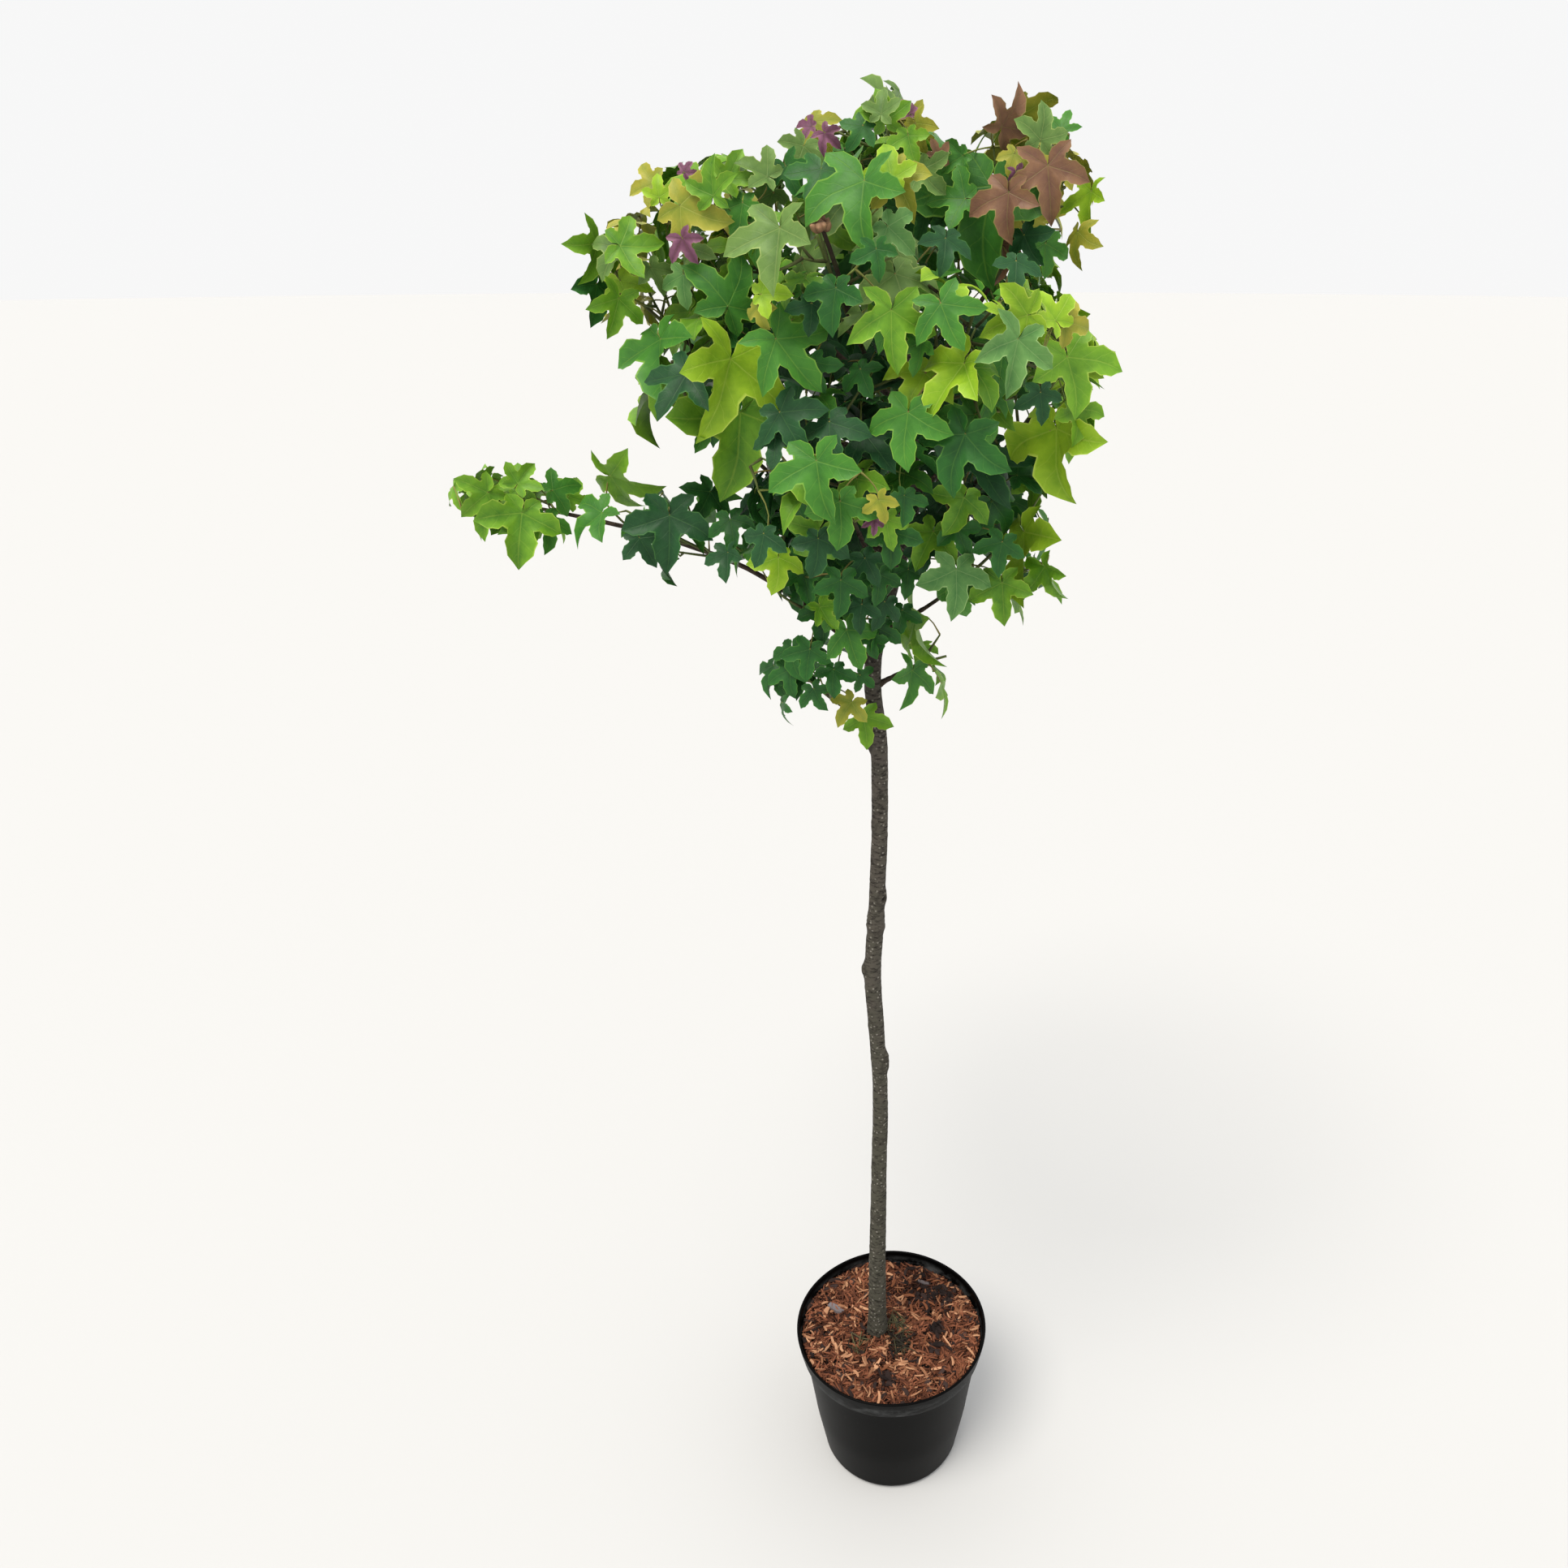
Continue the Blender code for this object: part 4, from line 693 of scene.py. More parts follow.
# Leaves that stand out: column and row of the foot in the frame, direction of the middle lobe in degrees
# from rightward, its length in pixels, how far out the leaf hangs, how much it curls, shape and tint,
# and for one seen partly edge on, how many degrees it is turned about its middle lobe
PLAIN_LEAVES = (
    (900, 442, -97, 114, 1.08, 1.1, 1, "lime", -30),
    (956, 418, -52, 92, 1.02, 0.6, 1, "mid", -34),
    (1098, 382, -90, 84, 1.02, 0.3, 1, "fresh"),
    (912, 508, -90, 116, 0.90, 0.5, 2, "fresh", 0),
    (1006, 568, -87, 82, 1.04, 0.5, 0, "mid"),
    (1119, 508, -100, 76, 1.05, 0.5, 0, "mid"),
    (847, 460, -120, 70, 0.94, 0.4, 1, "deep"),
    (961, 508, -60, 62, 0.92, 0.4, 0, "deep"),
    (1022, 520, -90, 60, 0.80, 0.3, 2, "deep"),
    (1035, 618, -85, 64, 0.92, 0.4, 2, "mid"),
    (1083, 616, -70, 34, 1.00, 0.5, 0, "gold"),
    (1077, 640, -90, 24, 0.96, 0.9, 1, "plum"),
    (1092, 640, -82, 42, 0.90, 0.4, 0, "fresh"),
    (1114, 611, -90, 40, 0.88, 0.3, 2, "shade"),
    (814, 418, -95, 80, 0.92, 0.3, 2, "mid", 38),
    (842, 338, -90, 46, 1.08, 0.3, 0, "pale"),
    (938, 363, 5, 40, 1.04, 0.6, 2, "lime"),
    (934, 378, -80, 34, 1.00, 0.9, 2, "gold"),
    (1002, 446, -80, 44, 0.86, 0.2, 2, "shade"),
    (1060, 455, -70, 38, 0.86, 0.2, 2, "shade"),
    (1030, 355, -100, 60, 0.84, 0.3, 2, "shade"),
    (1291, 204, -85, 76, 1.04, 0.6, 1, "bronze"),
    (1243, 237, -98, 66, 1.10, 0.5, 0, "bronze"),
    (1221, 229, -104, 132, 0.98, 0.4, 2, "mid"),
    (1234, 156, 50, 60, 0.95, 0.9, 1, "bronze", 45),
    (1282, 172, 76, 54, 0.95, 0.6, 0, "olive"),
    (1307, 160, 66, 36, 0.95, 0.5, 1, "mid"),
    (1252, 212, -75, 26, 0.96, 0.6, 1, "plum"),
    (1250, 190, -110, 34, 1.00, 0.6, 0, "gold"),
    (1186, 192, -150, 34, 0.92, 0.4, 2, "mid"),
    (1345, 236, -105, 52, 0.92, 0.8, 1, "lime", 64),
    (1328, 285, -112, 50, 0.94, 0.8, 1, "gold", 66),
    (1288, 300, -92, 46, 0.84, 0.4, 0, "mid"),
    (1262, 290, -70, 46, 0.82, 0.4, 0, "deep"),
    (1189, 245, 175, 52, 0.90, 0.4, 2, "mid"),
    (838, 253, -28, 70, 1.06, 0.3, 0, "gold"),
    (764, 303, -4, 58, 1.08, 0.4, 0, "fresh"),
    (761, 305, -125, 46, 1.00, 0.6, 2, "olive"),
    (841, 294, -64, 38, 1.06, 0.8, 1, "plum"),
    (843, 212, 60, 22, 0.98, 0.8, 1, "plum"),
    (806, 226, 196, 40, 0.96, 0.7, 0, "gold"),
    (812, 243, 98, 34, 1.00, 0.4, 0, "lime"),
    (879, 241, 98, 54, 0.96, 0.5, 1, "fresh"),
    (897, 222, 70, 46, 0.94, 0.4, 0, "fresh"),
    (897, 377, 62, 78, 1.00, 0.5, 0, "mid"),
    (762, 368, -100, 56, 0.98, 0.7, 1, "fresh", -40),
    (764, 346, -68, 50, 1.06, 0.9, 1, "lime"),
    (736, 300, -95, 60, 0.95, 0.8, 1, "fresh", -60),
    (735, 350, -92, 56, 0.95, 0.8, 2, "shade", -56),
    (802, 330, -60, 40, 0.92, 0.4, 0, "olive"),
    (1254, 418, -100, 76, 1.12, 0.4, 1, "pale"),
    (1188, 448, -130, 88, 1.08, 0.6, 0, "lime", 40),
    (1266, 388, 196, 64, 1.04, 0.7, 0, "lime"),
    (1300, 395, 118, 52, 1.02, 0.5, 0, "lime"),
    (1312, 396, -15, 44, 1.04, 0.9, 2, "gold"),
    (1315, 440, -72, 78, 1.08, 0.5, 0, "fresh"),
    (1337, 440, -70, 40, 0.96, 0.8, 0, "lime", 50),
    (1324, 504, -74, 48, 0.98, 0.7, 2, "fresh"),
    (1302, 528, -98, 108, 1.04, 0.7, 2, "lime", 48),
    (1189, 535, -116, 84, 1.00, 0.3, 0, "shade"),
    (1282, 484, -82, 42, 0.92, 0.4, 0, "deep"),
    (1235, 668, -103, 44, 1.00, 0.3, 0, "shade"),
    (1178, 702, -85, 64, 1.04, 0.3, 0, "pale"),
    (1262, 655, -93, 94, 0.98, 0.5, 2, "lime", 66),
    (1290, 650, -95, 52, 0.86, 0.8, 1, "mid", -60),
    (1288, 698, -70, 54, 0.92, 0.9, 1, "fresh", 62),
    (1235, 718, -88, 56, 0.98, 0.6, 0, "fresh"),
    (1252, 712, -65, 30, 0.96, 0.3, 0, "deep"),
    (1188, 613, -108, 54, 1.00, 0.4, 2, "fresh"),
    (1159, 374, -70, 66, 0.96, 0.5, 1, "mid"),
    (1135, 422, -95, 44, 0.94, 0.4, 1, "mid"),
    (1119, 702, -92, 38, 1.00, 0.4, 0, "shade"),
    (1036, 715, -88, 50, 1.08, 0.2, 0, "shade"),
    (1043, 776, -72, 56, 1.02, 0.5, 0, "mid"),
    (976, 798, -95, 44, 1.00, 0.6, 2, "shade"),
    (973, 825, -92, 38, 0.90, 0.5, 0, "shade"),
    (1003, 849, -68, 32, 0.96, 0.4, 0, "shade"),
    (1027, 825, -95, 36, 1.00, 0.4, 2, "shade"),
    (1049, 865, -128, 36, 1.00, 0.4, 0, "gold"),
    (1064, 883, -80, 42, 1.06, 0.4, 0, "fresh"),
    (964, 866, -97, 32, 0.90, 0.9, 1, "shade", 66),
    (1128, 762, -84, 72, 1.00, 0.9, 1, "fresh", 72),
    (1124, 826, -92, 52, 1.00, 0.7, 1, "mid", -58),
    (1075, 784, -90, 30, 1.04, 0.4, 2, "shade"),
    (1012, 748, -42, 30, 0.86, 0.5, 0, "fresh"),
    (959, 687, -86, 48, 0.90, 0.5, 2, "lime"),
    (638, 596, 58, 36, 1.00, 0.3, 0, "fresh"),
    (643, 632, -96, 70, 1.00, 0.4, 2, "fresh"),
    (601, 607, -140, 48, 0.92, 0.5, 0, "fresh"),
    (681, 604, 20, 40, 0.90, 0.4, 2, "mid"),
    (742, 632, -152, 58, 1.00, 0.5, 0, "mid", 35),
    (752, 586, -26, 72, 0.95, 0.9, 1, "fresh", 72),
    (825, 635, -91, 74, 1.02, 0.3, 0, "deep"),
    (788, 663, -60, 42, 0.92, 0.4, 0, "deep"),
    (897, 681, -90, 38, 1.02, 0.4, 0, "deep"),
    (875, 606, -110, 44, 0.90, 0.4, 0, "shade"),
    (941, 658, -100, 46, 0.94, 0.3, 2, "deep"),
    (1065, 223, -103, 90, 1.10, 0.5, 1, "mid"),
    (961, 281, -97, 84, 1.06, 0.5, 1, "olive"),
    (1080, 307, -80, 42, 1.00, 0.5, 0, "shade"),
    (1094, 279, -42, 54, 0.96, 0.7, 2, "pale"),
    (1102, 218, -60, 58, 1.00, 0.8, 0, "gold"),
    (1099, 221, 100, 54, 1.02, 0.5, 2, "lime"),
    (1090, 150, 98, 48, 0.94, 0.4, 0, "fresh"),
    (1063, 155, -118, 38, 1.00, 0.4, 0, "shade"),
    (1128, 152, -76, 44, 0.98, 0.8, 1, "gold", 50),
    (1121, 140, 120, 32, 0.94, 0.7, 2, "plum"),
    (1016, 164, -42, 30, 1.00, 0.8, 1, "plum"),
    (1000, 156, 170, 22, 0.96, 0.8, 2, "plum"),
    (990, 180, -110, 42, 1.00, 0.4, 0, "olive"),
    (1003, 150, -62, 40, 0.92, 0.7, 2, "gold", 0),
    (1135, 209, -55, 46, 1.00, 0.4, 2, "olive"),
    (1154, 193, 35, 26, 0.96, 0.6, 0, "bronze"),
    (1119, 167, -80, 40, 0.96, 0.4, 2, "fresh"),
    (1086, 140, 84, 40, 1.04, 0.5, 0, "olive"),
    (1120, 152, 60, 36, 1.00, 0.6, 1, "gold"),
    (945, 218, 150, 46, 0.98, 0.5, 0, "olive"),
    (968, 205, -70, 44, 0.98, 0.5, 1, "shade"),
    (915, 250, -100, 50, 0.96, 0.5, 2, "mid"),
    (1012, 208, -100, 48, 0.96, 0.5, 0, "shade"),
    (1152, 215, -100, 58, 0.96, 0.5, 2, "mid"),
    (1083, 708, -88, 42, 0.98, 0.5, 0, "shade"),
    (1090, 742, -112, 40, 1.00, 0.5, 0, "deep"),
    (1112, 752, -100, 34, 0.98, 0.5, 2, "shade"),
    (1082, 774, -92, 38, 1.00, 0.5, 0, "shade"),
    (1096, 655, -85, 50, 0.92, 0.5, 2, "shade"),
    (1066, 688, -62, 40, 0.92, 0.5, 0, "deep"),
    (1008, 664, -90, 52, 0.90, 0.5, 2, "deep"),
    (1150, 655, -118, 56, 0.92, 0.5, 0, "fresh"),
    (1062, 745, -100, 38, 0.94, 0.5, 0, "deep"),
    (1010, 748, -60, 38, 0.92, 0.5, 1, "fresh"),
    (998, 800, -100, 42, 0.98, 0.5, 0, "shade"),
    (1060, 832, -35, 26, 1.00, 0.6, 0, "shade"),
    (672, 640, -78, 46, 0.98, 0.5, 0, "mid"),
    (606, 628, -120, 40, 0.98, 0.5, 2, "fresh"),
    (1175, 262, -85, 46, 0.92, 0.5, 0, "shade"),
    (1140, 262, -100, 40, 0.92, 0.5, 0, "shade"),
    (900, 640, -80, 40, 0.94, 0.5, 0, "shade"),
    (1180, 652, -70, 40, 0.92, 0.5, 2, "shade"),
    (868, 520, -95, 42, 0.92, 0.5, 2, "mid"),
    # deep leaves hung further in to fill gaps inside the crown: their dark tint stands for painted shade
    # there
    (955, 536, -90, 44, 0.84, 0.5, 0, "deep"),
    (1140, 674, -90, 36, 0.84, 0.5, 0, "deep"),
    (1165, 294, -90, 42, 0.82, 0.5, 0, "deep"),
    (1252, 322, -90, 40, 0.82, 0.5, 2, "deep"),
    (1000, 374, -90, 42, 0.82, 0.5, 2, "deep"),
    (700, 612, 50, 34, 0.96, 0.5, 0, "fresh"),
    (640, 600, 88, 34, 0.92, 0.5, 2, "fresh"),
)

# Places in the frame that are open to the sky: column, row and radius
OPEN_PLACES = np.array(
    (
        (925, 730, 23), (1175, 148, 26), (770, 438, 22), (1372, 504, 24), (1318, 680, 25), (1384, 429, 27),
        (1178, 785, 20), (939, 175, 25), (1336, 349, 27), (1346, 157, 28), (1027, 110, 28), (693, 349, 30),
        (727, 430, 25), (779, 407, 19), (1366, 566, 23), (754, 483, 30), (939, 761, 29), (767, 695, 25),
        (838, 586, 25), (1281, 747, 18), (879, 161, 27), (770, 246, 16), (1377, 383, 30), (829, 537, 15),
        (697, 289, 28), (1392, 470, 23), (1207, 120, 25), (1359, 175, 29), (1324, 639, 30), (712, 677, 19),
        (777, 562, 17), (1377, 232, 26), (1365, 274, 22), (817, 576, 21), (850, 698, 15), (939, 790, 22),
        (1353, 319, 29), (692, 388, 26), (991, 890, 22), (1277, 133, 10), (550, 661, 25), (861, 580, 16),
        (754, 608, 10), (1184, 794, 25), (1036, 134, 15), (1164, 770, 13), (742, 239, 26), (990, 779, 9),
        (741, 700, 25), (1381, 530, 29), (878, 659, 9), (598, 689, 20), (1190, 843, 23), (788, 423, 14),
        (621, 566, 13), (1123, 768, 7), (750, 524, 23), (574, 570, 16), (855, 183, 13), (851, 519, 8),
        (793, 570, 13), (1145, 748, 7), (1328, 246, 7), (1314, 285, 6), (1203, 368, 9), (1263, 509, 9),
        (1207, 684, 10), (1018, 834, 9), (1036, 812, 7), (900, 650, 8), (1112, 815, 9), (1290, 640, 9),
    )
)


def bends(rng, number):
    """The small bends that give each leaf a form of its own."""
    return {
        "lean": rng.uniform(-0.45, 0.45, number),
        "lean_angle": rng.uniform(-3.1, 3.1, number),
        "fold": rng.uniform(0.20, 0.75, number),
        "keel": rng.uniform(-0.15, 0.50, number),
        "sweep": rng.uniform(-0.25, 0.25, number),
        "stretch": rng.uniform(-0.14, 0.14, number),
        "wave": rng.uniform(0.0, 0.12, number),
        "phase": rng.uniform(0.0, 6.2, number),
    }


def candidates(rng, place, along, side, index, mass, tip, number=18):
    """Leaves that could hang from one place: out on a stalk, face up and outward, each with its own bend.

    The stalk leans off the twig and swings round it. The leaf points away from the crown's heart, hangs
    down from that by an angle, and turns a little to one side. Its face is square to that, and is then
    turned about the midrib.
    """
    length = MASSES[mass].leaf_length * rng.uniform(0.80, 1.35, number) * np.linspace(1.0, 0.70, number)
    stalk = length * rng.uniform(0.45, 0.95, number)
    lean = rng.uniform(*((0.1, 0.7) if tip else (0.6, 1.35)), size=number)
    swing = index * GOLDEN_ANGLE + rng.uniform(-0.9, 0.9, number)
    across = turned_about(np.broadcast_to(side, (number, 3)), np.broadcast_to(along, (number, 3)), swing)
    out = unit(along * np.cos(lean)[:, None] + across * np.sin(lean)[:, None] + (0.0, 0.0, 0.15))
    foot = place + out * stalk[:, None]
    heart = np.array((0.0, 0.0, MASSES[mass].centre[2] - 0.05))
    if mass.startswith("long"):
        heart = np.array(MASSES[mass].centre) - (0.0, 0.0, 0.08)
    away = unit((foot - heart) * (1.0, 1.0, 0.6))
    hang = np.radians(rng.uniform(22.0, 78.0, number))
    upright = np.array((0.0, 0.0, 1.0))
    heading = unit(away * np.cos(hang)[:, None] + 0.35 * out - upright * np.sin(hang)[:, None])
    heading = turned_about(heading, np.broadcast_to(upright, heading.shape), rng.uniform(-0.8, 0.8, number))
    face = away * np.sin(hang)[:, None] + upright * (0.25 + np.cos(hang))[:, None]
    normal = unit(face - heading * (face * heading).sum(axis=-1, keepdims=True))
    normal = turned_about(normal, heading, rng.uniform(-0.85, 0.85, number))
    return {
        "foot": foot,
        "heading": heading,
        "normal": normal,
        "side": np.cross(normal, heading),
        "length": length,
        "middle": place + out * stalk[:, None] * 0.55 + (0.0, 0.0, 0.004),
        "out": out,
        "shade": rng.uniform(0.0, 1.0, number),
        "curl": rng.uniform(0.25, 1.20, number),
    } | bends(rng, number)


def seen_at(points):
    """Column, row and depth in the frame of places in space."""
    away = points - np.array(CAMERA_PLACE)
    depth = away @ PICTURE_AHEAD
    column = CAMERA_AXIS_COLUMN + CAMERA_FOCUS * (away @ PICTURE_RIGHT) / depth
    return np.stack((column, 0.5 * FRAME_WIDTH - CAMERA_FOCUS * (away @ PICTURE_UP) / depth, depth), axis=-1)


def open_to_sky(points):
    """Whether any point of each group shows in a place of the frame that is open to the sky."""
    away = seen_at(points)[..., None, :2] - OPEN_PLACES[:, :2]
    return (np.linalg.norm(away, axis=-1) < OPEN_PLACES[:, 2]).any(axis=(-2, -1))


def hung_place(column, row, layer):
    """Where a line of sight meets the nearest mass of leaves: the mass, the place, its normal and the line.

    Each mass is its ellipsoid, scaled by the layer, and those at the back don't count. A line that misses
    them all takes its nearest point to one.
    """
    ray = (column - CAMERA_AXIS_COLUMN) * PICTURE_RIGHT + (0.5 * FRAME_WIDTH - row) * PICTURE_UP
    ray = unit(ray + CAMERA_FOCUS * PICTURE_AHEAD)
    found = []
    for mass, values in MASSES.items():
        centre, half = np.array(values.centre), np.array(values.half) * layer
        start, step = (np.array(CAMERA_PLACE) - centre) / half, ray / half
        along, square = -(start @ step) / (step @ step), step @ step
        gap = along**2 - (start @ start - 1.0) / square
        reach = along - math.sqrt(max(gap, 0.0))
        miss = max(float(np.linalg.norm(start + reach * step)) - 1.0, 0.0)
        if not mass.startswith("back"):
            found.append((round(miss, 4), reach, mass))
    reach, mass = min(found)[1:]
    place = np.array(CAMERA_PLACE) + reach * ray
    return mass, place, unit((place - np.array(MASSES[mass].centre)) / np.array(MASSES[mass].half) ** 2), ray


def plain_leaf(rng, row, shift):
    """A leaf of the table, facing between the line of sight and the outside of its mass.

    Its length in the frame, taken back to its depth and its slant to the line of sight, gives its real one.
    """
    column, line, angle, pixels, layer, curl, shape, tint, *edgewise = row
    layer = layer + shift
    mass, place, outward, ray = hung_place(column, line, layer if layer < 1.0 else 0.5 + 0.5 * layer)
    turn = math.radians(angle)
    normal = unit(-0.62 * ray + 0.28 * outward + (0.0, 0.0, 0.25 * max(-math.sin(turn), 0.0)))
    flat = math.cos(turn) * PICTURE_RIGHT + math.sin(turn) * PICTURE_UP
    heading = flat - np.clip((flat @ normal) / (ray @ normal), -0.7, 0.7) * ray
    length = pixels * seen_at(place)[2] / CAMERA_FOCUS * np.linalg.norm(heading)
    heading = unit(heading)
    normal = unit(normal - heading * (normal @ heading))
    swing = math.radians(edgewise[0]) if edgewise else rng.uniform(-0.5, 0.5)
    normal = turned_about(normal, heading, np.array(swing))
    leaf = {
        "foot": place,
        "heading": heading,
        "normal": normal,
        "side": np.cross(normal, heading),
        "length": length,
        "curl": max(curl, 0.45),
        "shade": rng.uniform(0.2, 0.8),
        "shape": shape,
        "tint": tint,
    }
    return mass, leaf | {key: value[0] for key, value in bends(rng, 1).items()}


class Twig:
    """A twig's course, the twig and share that it grows from, and how much of it carries something."""

    def __init__(self, course, parent=None, share=0.0):
        self.course = course
        self.parent = parent
        self.share = share
        self.used = 0.0

    def carry(self, share):
        """Notes that something hangs or grows at a share of the course."""
        self.used = max(self.used, share)

    def kept(self):
        """The course as far as it carries a leaf or another twig."""
        spots = np.linspace(0.0, self.used, TWIG_RINGS) * (len(self.course) - 1)
        whole = np.arange(len(self.course))
        return np.stack([np.interp(spots, whole, column) for column in self.course.T], axis=-1)


def hung_on(leaf, twigs):
    """Hangs a leaf by a stalk from the nearest place on the twigs, with a new twig where that is far.

    A place costs its distance, and more the further it lies in front of the leaf's face or towards its tip.
    """
    places = np.concatenate([twig.course[1:] for twig in twigs])
    owners = [(twig, spot / (len(twig.course) - 1)) for twig in twigs for spot in range(1, len(twig.course))]
    away = places - leaf["foot"]
    cost = np.linalg.norm(away, axis=1) + 0.7 * np.maximum(away @ leaf["normal"], 0.0)
    cost = cost + 0.4 * np.maximum(away @ leaf["heading"], 0.0)
    owner, share = owners[np.argmin(cost)]
    site = places[np.argmin(cost)]
    far = np.linalg.norm(leaf["foot"] - site)
    if far > LONGEST_STALK:
        end = site + (leaf["foot"] - site) * (1.0 - STALK_ON_NEW_TWIG / far) - leaf["normal"] * 0.006
        bend = 0.5 * (site + end) + (0.0, 0.0, 0.06 * far)
        owner, share = Twig(bezier(site, bend, end, np.linspace(0.0, 1.0, TWIG_RINGS)), owner, share), 1.0
        twigs.append(owner)
        site = end
    owner.carry(share)
    far = np.linalg.norm(leaf["foot"] - site)
    leaf["site"] = site
    back = 0.30 * leaf["heading"] + 0.40 * leaf["normal"]
    leaf["middle"] = leaf["foot"] - back * far + (0.0, 0.0, 0.1 * far)


class Crown:
    """All the leaves of the tree as they are placed, each tested against the ones that hang already."""

    def __init__(self, limbs):
        self.limbs = limbs
        self.trees = []
        self.centres = np.zeros((0, 3))
        self.samples = np.zeros((0, 6, 3))
        self.shown = np.zeros((0, 4))

    def keep(self, tree, coarse):
        """Notes a leaf that hangs: its search tree, its middle and the corners that stand for it."""
        self.trees.append(tree)
        self.centres = np.vstack((self.centres, coarse.mean(axis=0)))
        self.samples = np.concatenate((self.samples, coarse[SAMPLES][None]))

    def keep_clear(self, places, pixels):
        """Keeps the sight of some places clear, within a radius in the frame."""
        view = seen_at(places)
        self.shown = np.vstack((self.shown, np.insert(view, 2, pixels, axis=1)))

    def hang_plain(self, row, number, twigs):
        """Hangs a leaf of the table at the first layer where it cuts no other, and keeps it in sight.

        One that cuts another at every layer hangs at the last of them.
        """
        for shift in LAYER_SHIFTS:
            rng = np.random.default_rng(100 + number)
            mass, leaf = plain_leaf(rng, row, shift)
            template = TEMPLATES[leaf["shape"]]
            rows = {key: np.array([value]) for key, value in leaf.items() if key not in ("shape", "tint")}
            coarse = template.placed(rows, template.coarse)[0]
            tree = BVHTree.FromPolygons([tuple(point) for point in coarse], template.fan)
            if coarse[:, 1].min() > FRONT_LIMIT and not any(tree.overlap(other) for other in self.trees):
                break
        self.keep(tree, coarse)
        view = seen_at(leaf["foot"] + 0.35 * leaf["length"] * leaf["heading"])
        self.shown = np.vstack((self.shown, (*view[:2], 0.50 * row[3], view[2])))
        hung_on(leaf, twigs[mass])
        return mass, leaf

    def hides(self, points):
        """Whether each group of points stands between the camera and a leaf of the table."""
        view = seen_at(points)
        away = view[:, :, None, :2] - self.shown[None, None, :, :2]
        aside = np.linalg.norm(away, axis=-1) < self.shown[:, 2]
        return (aside & (view[:, :, None, 2] < self.shown[:, 3] + 0.004)).any(axis=(1, 2))

    def place(self, rng, leaves, mass):
        """The roomiest candidate within the mass's reach that cuts no leaf and no limb, or None."""
        shape = int(rng.integers(len(TEMPLATES)))
        template = TEMPLATES[shape]
        coarse = template.placed(leaves, template.coarse)
        tips = coarse[:, SAMPLES]
        fits = within_reach(coarse, mass, LEAF_ALLOWANCE)
        facing = (leaves["out"] * leaves["heading"]).sum(axis=-1) > -0.45
        order = np.flatnonzero(fits & facing & ~self.hides(tips) & ~open_to_sky(coarse))
        if len(order) == 0:
            return None
        near = np.linalg.norm(self.centres - coarse[order].mean(axis=(0, 1)), axis=1) < NEIGHBOUR_REACH
        near_numbers = np.flatnonzero(near)
        if len(near_numbers):
            gaps = tips[order][:, :, None, None, :] - self.samples[near_numbers][None, None]
            room = np.sqrt((gaps**2).sum(axis=-1)).min(axis=(1, 2, 3))
            order = order[np.argsort(-room)]
        for choice in order[:CHOICES]:
            tree = BVHTree.FromPolygons([tuple(point) for point in coarse[choice]], template.fan)
            if any(tree.overlap(limb) for limb in self.limbs):
                continue
            if any(tree.overlap(self.trees[number]) for number in near_numbers):
                continue
            self.keep(tree, coarse[choice])
            leaf = {key: value[choice] for key, value in leaves.items() if key != "out"}
            leaf["shape"] = shape
            return leaf
        return None


def search_tube(course, radii, sides=6):
    """A round tube along a course, as a search tree that leaves are tested against."""
    points, faces = closed_grid(tube_grid(course, radii, sides))
    return BVHTree.FromPolygons([tuple(point) for point in points], [tuple(face) for face in faces])


def bough_radii(thick, thin, count):
    """Half of thick + (thin - thick) s to the power 0.8, at even shares s from foot to tip."""
    share = np.linspace(0.0, 1.0, count)
    return 0.5 * (thick + (thin - thick) * share**0.8)


def split_share(mass, start, bend, end):
    """The share of a limb's course at which it enters its mass, where the bough gives way to the stem."""
    shares = np.linspace(0.0, 1.0, 200)
    course = bezier(start, bend, end, shares)
    inside = within_reach(course[:, None, :], mass, BOUGH_ALLOWANCE)
    far = shares * np.linalg.norm(end - start) > BOUGH_SHORTEST
    return shares[np.argmax(inside & far)]


